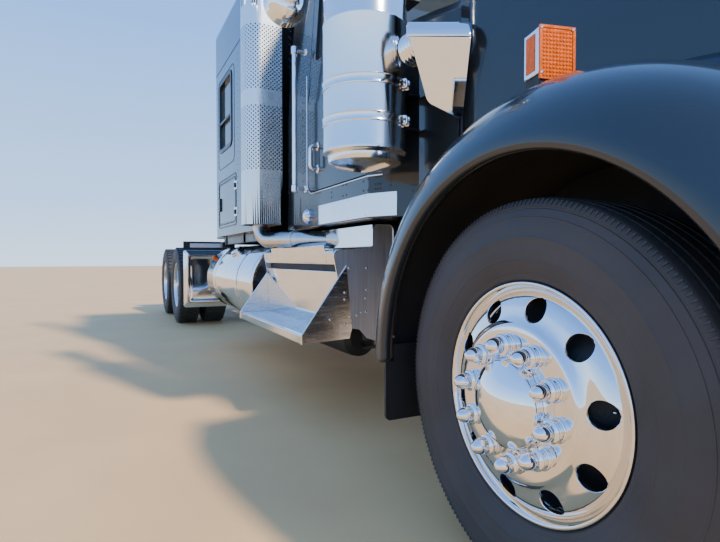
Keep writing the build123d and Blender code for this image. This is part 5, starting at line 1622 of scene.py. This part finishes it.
# Lamps
# Chromed head lamp pods on arms from the hood's sides, each with two clear lenses in chromed rims.
# Amber turn signals with studded lenses are screwed to the fenders' tops.
clear_lens = finish_of("clear_lens", (0.80, 0.84, 0.88), metallic=0.85, roughness=0.10, spread=0.05,
                       mottle=0.05, scale=30, bump=0.5, bump_scale=110)
lamp_face = behind(-0.800)
for side_name, side in side_names:
    pod = slab(behind(-0.660), lamp_face, side * 0.660, side * 1.010, 1.040, 1.205)
    piece(f"head_lamp_pod_{side_name}", [pod], bright_chrome, "hood", smooth=60, bevel=0.018,
          replaces=("hood_lamps",) if side == 1 else ())
    arm = slab(behind(-0.640), behind(-0.690), side * 0.490, side * 0.680, 1.095, 1.145)
    piece(f"head_lamp_arm_{side_name}", [arm], bright_chrome, "hood", bevel=0.008)
    lenses = []
    bezels = []
    for y in (side * 0.754, side * 0.916):
        outline = rounded_box(y - 0.067, y + 0.067, 1.065, 1.180, 0.012, 5)
        lenses.append(prism(outline, lamp_face - 0.002, lamp_face + 0.003, "X"))
        outline = rounded_box(y - 0.072, y + 0.072, 1.060, 1.185, 0.016, 5)
        loop = [(lamp_face + 0.002, across, up) for across, up in outline]
        bezels.append(tube(loop + loop[:1], 0.0035, 0.0003, sides=8, steps=1))
    piece(f"head_lamp_lenses_{side_name}", lenses, clear_lens, "hood", bevel=0.002)
    piece(f"head_lamp_bezels_{side_name}", bezels, bright_chrome, "hood", smooth=50)
signal_centre = (behind(0.090), 0.960, 1.424)
signal_turn = radians(14)
lens_low, lens_high = -0.078, 0.0640
lens_half = 0.0535
bead_shape = turned([(0.0050, 0.0), (0.0040, 0.0014), (0.0020, 0.0022), (0.0, 0.0024)], (0, 0, 0), "Z", 10)


def at_signal(ahead, out, up, side):
    """Point ahead of, outboard of and above the middle of a turn signal."""
    x = signal_centre[0] + ahead * cos(signal_turn) - out * sin(signal_turn)
    y = signal_centre[1] + ahead * sin(signal_turn) + out * cos(signal_turn)
    return x, side * y, signal_centre[2] + up


def signal_block(a0, a1, o0, o1, u0, u1, side):
    """Plain block on a turn signal, between two values each ahead, outboard and up."""
    corners = ((a0, o0), (a1, o0), (a1, o1), (a0, o1))
    verts = [at_signal(ahead, out, up, side) for up in (u0, u1) for ahead, out in corners]
    faces = [(0, 1, 2, 3), (7, 6, 5, 4)] + [(k, (k + 1) % 4, (k + 1) % 4 + 4, k + 4) for k in range(4)]
    return verts, faces


for side_name, side in side_names:
    lens = [signal_block(0.0385, 0.0425, -lens_half, lens_half, lens_low, lens_high, side),
            signal_block(0.0425, 0.0450, -lens_half, -0.0460, lens_low, lens_high, side),
            signal_block(0.0425, 0.0450, 0.0460, lens_half, lens_low, lens_high, side),
            signal_block(0.0425, 0.0450, -0.0460, 0.0460, 0.0570, lens_high, side),
            signal_block(-0.026, 0.018, 0.0522, 0.0534, -0.050, 0.050, side)]
    piece(f"turn_signal_lens_{side_name}", lens, amber_lens, "hood", bevel=0.001)
    housing = signal_block(-0.040, 0.0385, -0.052, 0.052, -0.0625, 0.0625, side)
    piece(f"turn_signal_body_{side_name}", [housing], bright_chrome, "hood", bevel=0.004)
    facing = (0, pi / 2, side * signal_turn)
    beads = [(at_signal(0.0424, -0.040 + 0.010 * column, -0.068 + 0.0105 * row, side), facing)
             for column in range(9) for row in range(12)]
    repeated(f"turn_signal_beads_{side_name}", bead_shape, beads, amber_lens, "hood", smooth=60)
    screws = [(at_signal(0.0450, out, up, side), facing) for out in (-0.047, 0.047) for up in (-0.062, 0.057)]
    repeated(f"turn_signal_screws_{side_name}", rivet_head, screws, bright_chrome, "hood")
    base = signal_block(-0.036, 0.036, -0.048, 0.048, -0.092, -0.0622, side)
    piece(f"turn_signal_foot_{side_name}", [base], matte_black, "hood", bevel=0.003)
